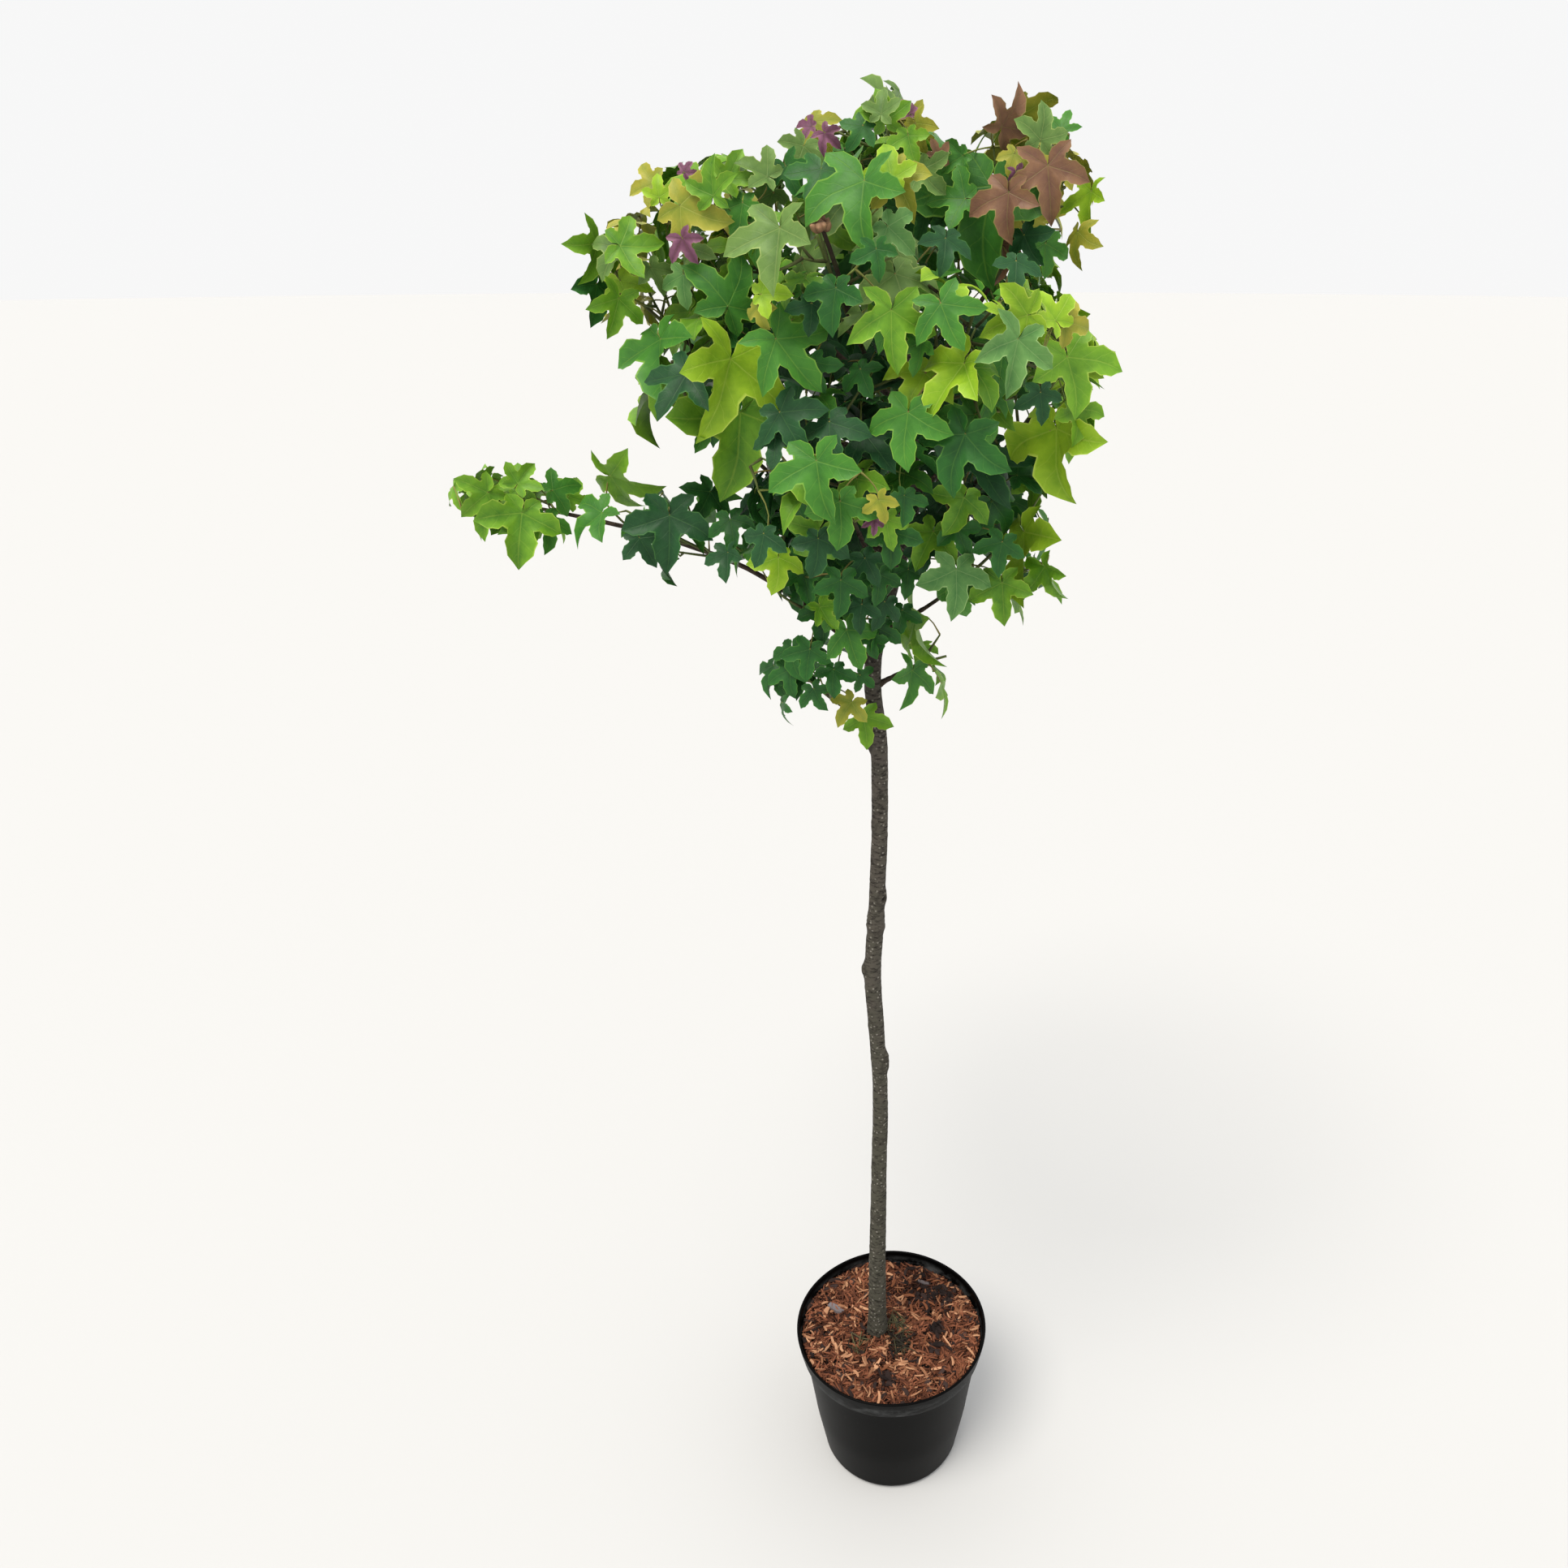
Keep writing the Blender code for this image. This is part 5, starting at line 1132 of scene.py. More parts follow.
def grow_limbs():
    """Every limb as (name, course, radii), and for each mass the course and radii of the stem inside it."""
    limbs = []
    stems = {}
    steps = np.linspace(0.0, 1.0, STEM_RINGS)
    for mass, row in MASSES.items():
        if mass.startswith("long"):
            continue
        start, bend, end = limb_course(mass)
        if mass == "top":
            stems[mass] = (bezier(start, bend, end, steps), np.linspace(0.0030, 0.0015, STEM_RINGS))
            continue
        split = split_share(mass, start, bend, end)
        course = bezier(start, bend, end, np.linspace(0.0, split, BOUGH_RINGS))
        length = np.linalg.norm(np.diff(course, axis=0), axis=1).sum()
        thick = min(BOUGH_TIP_DIAMETER + BOUGH_THICKENING * length, 2.0 * trunk_radius(row.fork) * 0.55)
        limbs.append(("bough_" + mass, course, bough_radii(thick, BOUGH_TIP_DIAMETER, BOUGH_RINGS)))
        stem = bezier(start, bend, end, np.linspace(split - 0.01, 1.0, STEM_RINGS))
        stems[mass] = (stem, np.linspace(0.5 * BOUGH_TIP_DIAMETER, 0.0014, STEM_RINGS))
    course = long_course()
    thick, thin = LONG_BOUGH_DIAMETERS
    limbs.append(("bough_long_left", course, bough_radii(thick, thin, BOUGH_RINGS)))
    tip = course[-1]
    far = np.array(MASSES["long_tip"].centre) + (-0.030, 0.0, 0.012)
    bend = 0.5 * (tip + far) + (0.0, 0.0, 0.004)
    stem = bezier(tip - (tip - course[-2]) * 0.5, bend, far, steps)
    stems["long_tip"] = (stem, np.linspace(0.5 * thin, 0.0013, STEM_RINGS))
    carrier = course[int(0.55 * BOUGH_RINGS)]
    far = np.array(MASSES["long_middle"].centre) + (-0.045, -0.022, 0.020)
    stem = bezier(carrier, carrier + (-0.016, -0.014, 0.008), far, steps)
    stems["long_middle"] = (stem, np.linspace(0.0022, 0.0012, STEM_RINGS))
    return limbs, stems


def along_course(course, share):
    """The place at a share of a course, its direction there, and a vector square to it."""
    spot = share * (len(course) - 1)
    whole = min(int(spot), len(course) - 2)
    step = course[whole + 1] - course[whole]
    along = unit(step)
    helper = np.eye(3)[np.argmin(np.abs(along))]
    return course[whole] + (spot - whole) * step, along, unit(helper - along * (along @ helper))


def shoot(rng, parent, share, turn, lean, lengths, mass):
    """A twig from a place on its parent, cut back until its end keeps to the mass, then bent up a little."""
    foot, along, side = along_course(parent, share)
    across = turned_about(side, along, np.array(turn))
    heading = unit(along * math.cos(lean) + across * math.sin(lean))
    for length in lengths:
        end = foot + heading * length + (0.0, 0.0, 0.10 * length)
        middle = foot + heading * 0.5 * length + rng.uniform(-0.05, 0.05, 3) * length
        course = bezier(foot, middle, end, np.linspace(0.0, 1.0, TWIG_RINGS))
        if within_reach(end[None, :], mass, TWIG_ALLOWANCE) and not open_to_sky(course):
            return course
    return None


def mass_draws(mass):
    """The random draws of one mass, the same in each run."""
    return np.random.default_rng(sum(ord(letter) * (place + 1) for place, letter in enumerate(mass)))


def grow_twigs(mass, stem, rng):
    """Twigs from the stem by the golden angle, and two finer twigs from each."""
    count = max(4, round(MASSES[mass].count / 2.4))
    main = Twig(stem)
    main.used = 1.0
    twigs = [main]
    for index in range(count):
        share = 0.15 + 0.78 * index / count
        for attempt in range(5):
            turn = (index + 0.37 * attempt) * GOLDEN_ANGLE + rng.uniform(-0.3, 0.3)
            course = shoot(rng, stem, share, turn, math.radians(rng.uniform(42.0, 66.0)), TWIG_LENGTHS, mass)
            if course is not None:
                twigs.append(Twig(course, main, share))
                break
    for number, twig in enumerate(twigs[1:], 1):
        for index, share in enumerate((0.42, 0.72)):
            turn = (number + index) * GOLDEN_ANGLE
            lean = math.radians(rng.uniform(38.0, 60.0))
            course = shoot(rng, twig.course, share, turn, lean, FINE_TWIG_LENGTHS, mass)
            if course is not None:
                twigs.append(Twig(course, twig, share))
    return twigs


def hang_leaves(mass, twigs, rng, crown, wanted):
    """Leaves at the twigs' ends first, then along them, until the mass has those it wants or no room."""
    leaves = []
    numbers = range(len(twigs))
    sites = [(number, share) for share in LEAF_SHARES for number in numbers if number or share > 0.35]
    for index, (number, share) in enumerate(sites):
        if len(leaves) >= wanted:
            break
        place, along, side = along_course(twigs[number].course, share)
        for again in range(2 if share == 1.0 else 1):
            options = candidates(rng, place, along, side, index + again, mass, share == 1.0 and again == 0)
            leaf = crown.place(rng, options, mass)
            if leaf is not None:
                leaf["site"] = place
                leaf["twig"] = number
                twigs[number].carry(share)
                leaves.append(leaf)
    return leaves


def stacked(leaves):
    """The leaves' values as arrays, one row a leaf."""
    keys = [key for key in leaves[0] if key not in ("shape", "twig", "tint")]
    return {key: np.array([leaf[key] for leaf in leaves]) for key in keys}


def deal_tints(mass, leaves):
    """A tint for each leaf from its mass's row, further along it the further out in the crown the leaf hangs.

    A draw for its twig and one of its own shift it. The leaves of the table keep their own tints.
    """
    rng = random.Random(mass)
    ladder = MASSES[mass].tints.split()
    tints = []
    for leaf in leaves:
        if "tint" in leaf:
            tints.append(leaf["tint"])
            continue
        # leaves deep in the crown take the dark tints: partly the older leaves' own green, partly painted
        # shade
        depth = np.linalg.norm((leaf["foot"] - CROWN_CENTRE) / CROWN_HALVES)
        step = (depth - 0.45) / 0.50 if not mass.startswith("long") else 0.5 + 0.3 * leaf["normal"][2]
        spray = random.Random(mass + str(leaf["twig"])).uniform(-0.18, 0.18)
        spot = step + spray + rng.uniform(-0.16, 0.16)
        tints.append(ladder[int(min(max(spot, 0.0), 0.999) * len(ladder))])
    return tints


def build_foliage(fullness, leaf_materials, stalk_material, twig_material):
    """Places every leaf, then makes one piece of leaves for each mass, one of stalks and one of twigs.

    A stalk bends once and is thicker at both ends. A twig tapers evenly, as far as it carries something.
    """
    limbs, stems = grow_limbs()
    heights = np.linspace(TRUNK_FOOT, TRUNK_COURSE[-1, 0], 60)
    trees = [search_tube(trunk_centre(heights), trunk_radius(heights) + 0.001, 8)]
    trees += [search_tube(course[::4], radii[::4] + 0.0008) for _, course, radii in limbs]
    trees += [search_tube(course, radii + 0.0004, 4) for course, radii in stems.values()]
    shoot_course = bud_shoot(stems["front_upper"][0])
    trees.append(search_tube(shoot_course, np.full(len(shoot_course), 0.003), 4))
    clear = np.array((BUD_PLACE, BUD_PLACE + (-0.004, -0.06, 0.02), BUD_PLACE + (-0.006, -0.12, 0.03)))
    trees.append(search_tube(clear, (0.020, 0.022, 0.022), 8))
    crown = Crown(trees)
    twig_mesh = Gathered()
    stalk_mesh = Gathered()
    names = list(leaf_materials)
    draws = {mass: mass_draws(mass) for mass in stems}
    grown = {mass: grow_twigs(mass, stems[mass][0], draws[mass]) for mass in stems}
    hung = {mass: [] for mass in stems}
    crown.keep_clear(shoot_course[3:], 13.0)
    crown.keep_clear(BUD_PLACE[None, :], 24.0)
    for number, row in enumerate(PLAIN_LEAVES):
        mass, leaf = crown.hang_plain(row, number, grown)
        hung[mass].append(leaf)
    for mass, (_, stem_radii) in stems.items():
        twigs = grown[mass]
        wanted = round(MASSES[mass].count * MASSES[mass].fullness * fullness)
        leaves = hung[mass] + hang_leaves(mass, twigs, draws[mass], crown, wanted)
        tints = deal_tints(mass, leaves)
        mesh = Gathered()
        for shape, template in enumerate(TEMPLATES):
            chosen = [number for number, leaf in enumerate(leaves) if leaf["shape"] == shape]
            if not chosen:
                continue
            rows = stacked([leaves[number] for number in chosen])
            for number, points, shade in zip(chosen, template.placed(rows), rows["shade"]):
                tint = names.index(tints[number])
                mesh.add(points, template.faces, tint, u=template.edge, v=template.along, shade=shade)
        mesh.piece("foliage_" + mass, list(leaf_materials.values()), mass_slot(mass), ("leaves_" + mass,))
        rows = stacked(leaves)
        shares = np.linspace(0.0, 1.0, STALK_RINGS)
        for site, middle, foot, shade in zip(rows["site"], rows["middle"], rows["foot"], rows["shade"]):
            course = bezier(site, middle, foot, shares)
            grid = tube_grid(course, 0.0007 + 0.0004 * (2.0 * shares - 1.0) ** 4, 4)
            stalk_mesh.add(*closed_grid(grid), shade=shade)
        for twig in reversed(twigs):
            if twig.parent and twig.used > 0.0:
                twig.parent.carry(twig.share)
        for number, twig in enumerate(twigs):
            if twig.used == 0.0:
                continue
            course = twig.kept() if number else twig.course
            radii = np.linspace(0.0017, 0.0010, len(course)) if number else stem_radii
            young = np.linspace(0.0 if number == 0 else 0.25, 1.0, len(course))
            grid = tube_grid(course, radii, 6)
            value = np.append(np.repeat(young, 6), (young[0], young[-1]))
            twig_mesh.add(*closed_grid(grid), young=value)
    radii = np.linspace(0.0024, 0.0019, len(shoot_course))
    points, faces = closed_grid(tube_grid(shoot_course, radii, 8))
    twig_mesh.add(points, faces, young=0.0)
    stalk_mesh.piece("leaf_stalks", [stalk_material], "leaf_light")
    twig_mesh.piece("twigs", [twig_material], "young_bark")


def mass_slot(mass):
    """The material slot that the record gives a mass's solid."""
    slots = {row["node"]: row["material_slot"] for row in frame["record"]["subparts"]}
    return slots["leaves_" + mass]


def bud_shoot(stem):
    """The bare shoot that carries the bud cluster, from the stem of its mass."""
    bend = 0.5 * (stem[5] + BUD_PLACE) + (0.006, 0.0, -0.006)
    return bezier(stem[5], bend, BUD_PLACE, np.linspace(0.0, 1.0, 12))


def build_buds(material):
    """A cluster of buds: each an egg about its own axis, pointed at its end, with its scales as low waves."""
    rng = np.random.default_rng(5)
    mesh = Gathered()
    course = bud_shoot(grow_limbs()[1]["front_upper"][0])
    along = unit(course[-1] - course[-2])
    side = unit(np.cross(along, (0.0, 0.0, 1.0)))
    share = np.linspace(0.02, 0.98, 10)
    for index in range(9):
        lean = 0.15 if index == 0 else rng.uniform(0.7, 1.35)
        across = turned_about(side, along, np.array(index * GOLDEN_ANGLE))
        heading = unit(along * math.cos(lean) + across * math.sin(lean))
        length = rng.uniform(0.009, 0.013)
        foot = BUD_PLACE - along * rng.uniform(0.0, 0.006) + heading * 0.001
        scales = 1.0 + 0.05 * np.sin(9.0 * np.pi * share)
        radii = 0.36 * length * np.sin(np.pi * share**0.75) ** 0.8 * scales
        grid = tube_grid(foot + share[:, None] * heading * length, radii, 10)
        points, faces = closed_grid(grid)
        tip = np.append(np.repeat(share, 10), (share[0], share[-1]))
        mesh.add(points, faces, tip=tip)
    mesh.piece("bud_cluster", [material], "young_bark")


def build_trunk(material):
    """Rings round the curved centre line, whose radius is the trunk's at that height with its relief.

    Five ridges fade up from the foot. Each knot is a bump with a hollow at its middle and a faint ring round
    it. Over that come a slow ripple, a finer one drawn out along the stem, and the thin rings of old scars.
    """
    heights = np.linspace(TRUNK_FOOT, TRUNK_COURSE[-1, 0], TRUNK_RINGS)
    angles = np.linspace(0.0, 2.0 * np.pi, TRUNK_SIDES, endpoint=False)
    height, angle = np.meshgrid(heights, angles, indexing="ij")
    round_way = np.stack((np.cos(angle), np.sin(angle), np.zeros_like(angle)), axis=-1)
    flare = np.exp(-(height - TRUNK_FOOT) / ROOT_FLARE)
    radius = trunk_radius(height) * (1.0 + 0.07 * flare * np.cos(5.0 * angle + 0.6))
    scale = np.clip(radius / 0.010, 0.4, 1.0)
    painted_knot_shade = np.zeros_like(radius)
    for knot, direction, stand, half_height, half_angle, hollow in KNOTS:
        turn = (np.degrees(angle) - direction + 180.0) % 360.0 - 180.0
        near = ((height - knot) / half_height) ** 2 + (turn / half_angle) ** 2
        radius = radius + stand * (np.exp(-near) - hollow * np.exp(-6.0 * near))
        radius = radius + 0.0005 * np.exp(-((np.sqrt(near) - 1.5) ** 2) / 0.06)
        # painted shade in the bark's colour: dark in each knot's hollow and in a ring round it, fainter round
        # the collar's ridges
        eye = hollow * np.exp(-5.0 * near) + 0.55 * np.exp(-((np.sqrt(near) - 1.15) ** 2) / 0.05)
        painted_knot_shade = np.maximum(painted_knot_shade, np.where(half_angle > 90.0, 0.6, 1.0) * eye)
    surface = trunk_centre(height) + radius[..., None] * round_way
    stretched = surface * (1.0, 1.0, 3.2)
    radius = radius + 0.00030 * scale * ripple(surface, 3, (0.020, 0.060))
    radius = radius + 0.00016 * scale * ripple(stretched, 4, (0.006, 0.014))
    rings = 0.5 + 0.5 * np.sin(2.0 * np.pi * height / SCAR_SPACING + 1.5 * np.sin(height * 37.0))
    radius = radius + 0.00025 * scale * rings**18
    grid = trunk_centre(height) + radius[..., None] * round_way
    points, faces = closed_grid(grid)
    values = {"knot": np.append(painted_knot_shade.ravel(), (0.0, 0.0))}
    new_piece("trunk_bark", points, faces, [material], ("trunk",), None, values)


def build_boughs(material):
    """Each bough a tapering tube from inside the trunk's bark, with a collar at its foot and swellings."""
    mesh = Gathered()
    names = []
    for number, (name, course, radii) in enumerate(grow_limbs()[0]):
        far = np.append(0.0, np.cumsum(np.linalg.norm(np.diff(course, axis=0), axis=1)))
        wide = radii * (1.0 + 0.75 * np.exp(-far / 0.006))
        wide = wide + 0.0004 * (0.5 + 0.5 * np.sin(2.0 * np.pi * far / 0.021 + number)) ** 8
        start = course[0] - unit(course[1] - course[0]) * 0.004
        grid = tube_grid(np.vstack((start, course)), np.append(wide[0] * 1.15, wide), BOUGH_SIDES)
        shift = 0.00020 * ripple(grid, number, (0.006, 0.016))
        centre = grid.mean(axis=1, keepdims=True)
        grid = grid + shift[..., None] * unit(grid - centre)
        mesh.add(*closed_grid(grid))
        names.append(name)
    mesh.piece("boughs_bark", [material], "young_bark", names)


def pot_profile():
    """The pot's wall in section as radius and height: out under it, up outside, over the lip and down inside.

    The wall leans out evenly to the band, which stands out by its step. Inside, the wall ends in a floor out
    of sight below the mulch.
    """
    slope = (POT_RIM_RADIUS - POT_BASE_RADIUS) / POT_HEIGHT
    band = POT_HEIGHT - POT_BAND_HEIGHT
    turn = np.linspace(0.0, 0.5 * np.pi, 7)
    foot_radius = POT_BASE_RADIUS + slope * POT_FOOT_ROUND
    foot_height = POT_FOOT_ROUND * (1 - np.cos(turn))
    foot = np.stack((foot_radius - POT_FOOT_ROUND * (1 - np.sin(turn)), foot_height), axis=-1)
    under = np.array(((0.002, 0.004), (0.060, 0.004), (0.072, 0.0035), (0.075, 0.0)))
    heights = np.linspace(POT_FOOT_ROUND + 0.01, band - 0.002, 12)
    step_share = np.clip((heights - 0.08) / (band - 0.08), 0.0, 1.0)
    wall = np.stack((POT_BASE_RADIUS + slope * heights - POT_BAND_STEP * step_share**0.8, heights), axis=-1)
    edge = POT_BASE_RADIUS + slope * band
    shoulder = np.array(
        (
            (edge - POT_BAND_STEP, band - 0.0006),
            (edge - 0.0022, band + 0.0002),
            (edge - 0.0008, band + 0.0009),
            (edge, band + 0.0024),
        )
    )
    rim = POT_RIM_RADIUS
    side = np.array(((edge + 0.3 * (rim - edge), band + 0.010), (edge + 0.7 * (rim - edge), band + 0.020)))
    lip_turn = np.linspace(-0.15 * np.pi, 1.0 * np.pi, 9)
    lip_middle = np.array((rim - POT_LIP, POT_HEIGHT - POT_LIP))
    lip = lip_middle + POT_LIP * np.stack((np.cos(lip_turn), np.sin(lip_turn)), axis=-1)
    inner = np.array(
        (
            (rim - 0.0040, POT_HEIGHT - 0.006),
            (edge - POT_WALL - 0.0005, band + 0.008),
            (edge - POT_BAND_STEP - POT_WALL, band + 0.002),
            (edge - POT_BAND_STEP - POT_WALL - 0.004, band - 0.030),
            (0.060, band - 0.034),
            (0.002, band - 0.034),
        )
    )
    return np.concatenate((under, foot, wall, shoulder, side, lip, inner))


def build_pot(material):
    """The section turned about the upright axis, a little out of round as a thin moulded wall is."""
    profile = pot_profile()
    angles = np.linspace(0.0, 2.0 * np.pi, POT_SIDES, endpoint=False)
    share = profile[:, 1:2] / POT_HEIGHT
    warp = 0.0007 * share**2 * (np.sin(2.0 * angles + 0.7) + 0.5 * np.sin(5.0 * angles))
    radius = profile[:, :1] + warp * (profile[:, :1] > 0.07)
    height = np.broadcast_to(profile[:, 1:2], radius.shape)
    grid = np.stack((radius * np.cos(angles), radius * np.sin(angles), height), axis=-1)
    points, faces = closed_grid(grid)
    piece = new_piece("pot_shell", points, faces, [material], ("pot",))
    piece.data.set_sharp_from_angle(angle=math.radians(50.0))


def mulch_height(places):
    """The mulch's height at places in X and Y.

    It slopes up to the front, with a mound round the trunk, a dip at the back right and a ripple over all.
    """
    x, y = places[..., 0], places[..., 1]
    flat = np.stack((x, y, np.zeros_like(x)), axis=-1)
    dip = 0.007 * np.exp(-((x - 0.055) ** 2 + (y - 0.080) ** 2) / 0.0022)
    mound = 0.003 * np.exp(-((x - TRUNK_COURSE[0, 1]) ** 2 + y**2) / 0.0010)
    return MULCH_TOP - 0.002 - 0.022 * y + mound - dip + 0.0018 * ripple(flat, 8, (0.018, 0.060))


def build_mulch_bed(material):
    """A disc of rings whose height is the mulch's, with a rim turned down inside the pot's wall."""
    rim = (MULCH_RADIUS - 0.0015, MULCH_RADIUS - 0.010, 0.060)
    radii = np.append(np.linspace(0.002, MULCH_RADIUS, 44), rim)
    angles = np.linspace(0.0, 2.0 * np.pi, MULCH_SIDES, endpoint=False)
    across, along = radii[:, None] * np.cos(angles), radii[:, None] * np.sin(angles)
    grid = np.stack((across, along, np.zeros_like(across)), axis=-1)
    grid[..., 2] = mulch_height(grid)
    grid[-3:, :, 2] = np.array((MULCH_TOP - 0.010, MULCH_TOP - 0.022, MULCH_TOP - 0.024))[:, None]
    points, faces = closed_grid(grid)
    faces = [tuple(reversed(face)) for face in faces]
    new_piece("mulch_bed", points, faces, [material], ("mulch",))


def sliver_points(middle, length, width, yaw, pitch, roll, bow):
    """Four four-cornered sections along a shallow bow, narrower to both ends: 16 points for each sliver."""
    along = np.stack((np.cos(yaw) * np.cos(pitch), np.sin(yaw) * np.cos(pitch), np.sin(pitch)), axis=-1)
    side = unit(np.cross((0.0, 0.0, 1.0), along))
    normal = np.cross(along, side)
    side, normal = turned_about(side, along, roll), turned_about(normal, along, roll)
    spine = middle[:, None, :] + (SLIVER_STATIONS * length[:, None])[..., None] * along[:, None, :]
    bulge = (1.0 - 4.0 * SLIVER_STATIONS**2) * (bow * length)[:, None]
    spine = spine + bulge[..., None] * side[:, None, :]
    wide = (SLIVER_TAPER * width[:, None])[:, :, None, None]
    across = wide * SLIVER_CORNERS[None, None, :, :1] * side[:, None, None, :]
    thick = wide * SLIVER_CORNERS[None, None, :, 1:] * normal[:, None, None, :]
    return (spine[:, :, None, :] + across + thick).reshape(-1, 16, 3)


def sliver_piece(name, points, shade, material):
    """One piece of many slivers, each with its own shade."""
    quads = np.concatenate((grid_faces(4, 4), ((3, 2, 1, 0), (12, 13, 14, 15))))
    faces = (quads[None] + (np.arange(len(points)) * 16)[:, None, None]).reshape(-1, 4)
    values = {"shade": np.repeat(shade, 16)}
    piece = new_piece(name, points.reshape(-1, 3), faces.tolist(), [material], (), None, values)
    piece.data.shade_flat()


def scatter_slivers(name, material, seed, count, lengths, widths, lifts, tilt, heaps=None):
    """Strews slivers evenly over the whole bed, or over round heaps, clear of the trunk and inside the wall.

    A sliver lies at the mulch's height and its own lift, tilted at random, and is darker in a damp place.
    """
    rng = np.random.default_rng(seed)
    turn = rng.uniform(0.0, 2.0 * np.pi, count)
    reach = np.sqrt(rng.uniform(0.0, 1.0, count))
    if heaps is None:
        centre = MULCH_RADIUS * np.stack((reach * np.cos(turn), reach * np.sin(turn)), axis=-1)
    else:
        heap = np.array(heaps)[rng.integers(len(heaps), size=count)]
        centre = heap[:, :2] + heap[:, 2:] * np.stack((reach * np.cos(turn), reach * np.sin(turn)), axis=-1)
    centre = centre[np.linalg.norm(centre - TRUNK_COURSE[0, 1:3], axis=1) > MULCH_CLEARING]
    count = len(centre)
    length = rng.uniform(*lengths, size=count)
    yaw = rng.uniform(0.0, 2.0 * np.pi, count)
    half = 0.5 * length[:, None] * np.stack((np.cos(yaw), np.sin(yaw)), axis=-1)
    out = np.maximum(np.linalg.norm(centre + half, axis=1), np.linalg.norm(centre - half, axis=1))
    centre = centre * np.clip((MULCH_RADIUS - 0.0010) / out, 0.0, 1.0)[:, None]
    lift = rng.uniform(*lifts, size=count)
    middle = np.concatenate((centre, (mulch_height(centre) + lift)[:, None]), axis=1)
    damp = np.zeros(count)
    for x, y, radius in DAMP_PLACES:
        damp = np.maximum(damp, np.exp(-((centre - (x, y)) ** 2).sum(axis=1) / radius**2))
    points = sliver_points(
        middle,
        length,
        rng.uniform(*widths, size=count),
        yaw,
        rng.normal(0.0, tilt, count),
        rng.uniform(-0.8, 0.8, count),
        rng.uniform(-0.12, 0.12, count),
    )
    shade = rng.uniform(0.0, 1.0, count) * (1.0 - 0.7 * damp) - 0.2 * damp
    sliver_piece(name, points, shade, material)


def lay_bits(name, material, rows):
    """Single bits on top of the mulch: X, Y, length, width, direction in degrees and shade of each."""
    x, y, length, width, yaw, shade = np.array(rows).T
    centre = np.stack((x, y), axis=-1)
    middle = np.concatenate((centre, mulch_height(centre)[:, None] + 0.004), axis=1)
    none = np.zeros(len(rows))
    points = sliver_points(middle, length, width, np.radians(yaw), none + 0.06, none + 0.15, none + 0.05)
    sliver_piece(name, points, shade, material)


def leaf_material(name, colours, veins):
    """Living sweetgum leaf, smooth and a little waxy, so it has a satin light.

    Its colour runs from dark to light by its own shade, by how near the rim and how far along the lobe a
    place is, and by slow blotches. Veins and rim are drawn over that in a third colour.
    """
    material, add, shader = new_material(name, 0.46, 0.22)
    dark, light, rim = (linear(code) + (1.0,) for code in colours)
    shade = add("Attribute", attribute_name="shade")
    place = add("TexCoord").outputs["Object"]
    uv = add("UVMap", uv_map="UVMap")
    parts = add("SeparateXYZ", {0: uv})
    # blotches 15 mm across, as the leaf turns colour unevenly
    blotch = add("TexNoise", {"Vector": place, "Scale": 65.0, "Detail": 4.0, "Roughness": 0.6})
    uneven = {"From Min": 0.25, "From Max": 0.75, "To Min": -0.45, "To Max": 0.35}
    cloud = add("MapRange", {"Value": blotch.outputs["Fac"]} | uneven)
    outward = add("Math", {0: parts, 1: 0.62, 2: cloud}, operation="MULTIPLY_ADD")
    further = add("Math", {0: parts.outputs[1], 1: 0.22, 2: outward}, operation="MULTIPLY_ADD")
    own = add("Math", {0: shade.outputs["Fac"], 1: 0.50, 2: further}, operation="MULTIPLY_ADD")
    own.use_clamp = True
    body = add("Mix", {0: own, 6: dark, 7: light}, data_type="RGBA")
    # the rim, a vein along each lobe, and side veins about 15 mm apart, coarser than life so that they show
    margin = add("MapRange", {"Value": parts, "From Min": 0.90, "From Max": 0.98, "To Max": 0.75})
    main = add("MapRange", {"Value": parts, "From Min": 0.070, "From Max": 0.020, "To Max": veins})
    slant = add("Math", {0: parts, 1: -0.28, 2: parts.outputs[1]}, operation="MULTIPLY_ADD")
    rows = add("Math", {0: slant, 1: 0.115}, operation="PINGPONG")
    branch = add("MapRange", {"Value": rows, "From Min": 0.012, "From Max": 0.003, "To Max": 0.5 * veins})
    lines = add("Math", {0: main, 1: branch}, operation="MAXIMUM")
    drawn = add("Math", {0: lines, 1: margin}, operation="MAXIMUM")
    colour = add("Mix", {0: drawn, 6: body.outputs[2], 7: rim}, data_type="RGBA")
    height = add("Math", {0: blotch.outputs["Fac"], 1: lines}, operation="SUBTRACT")
    bump = add("Bump", {"Height": height, "Strength": 0.55, "Distance": 0.0012})
    feed(shader, {"Base Color": colour.outputs[2], "Normal": bump})
    return material


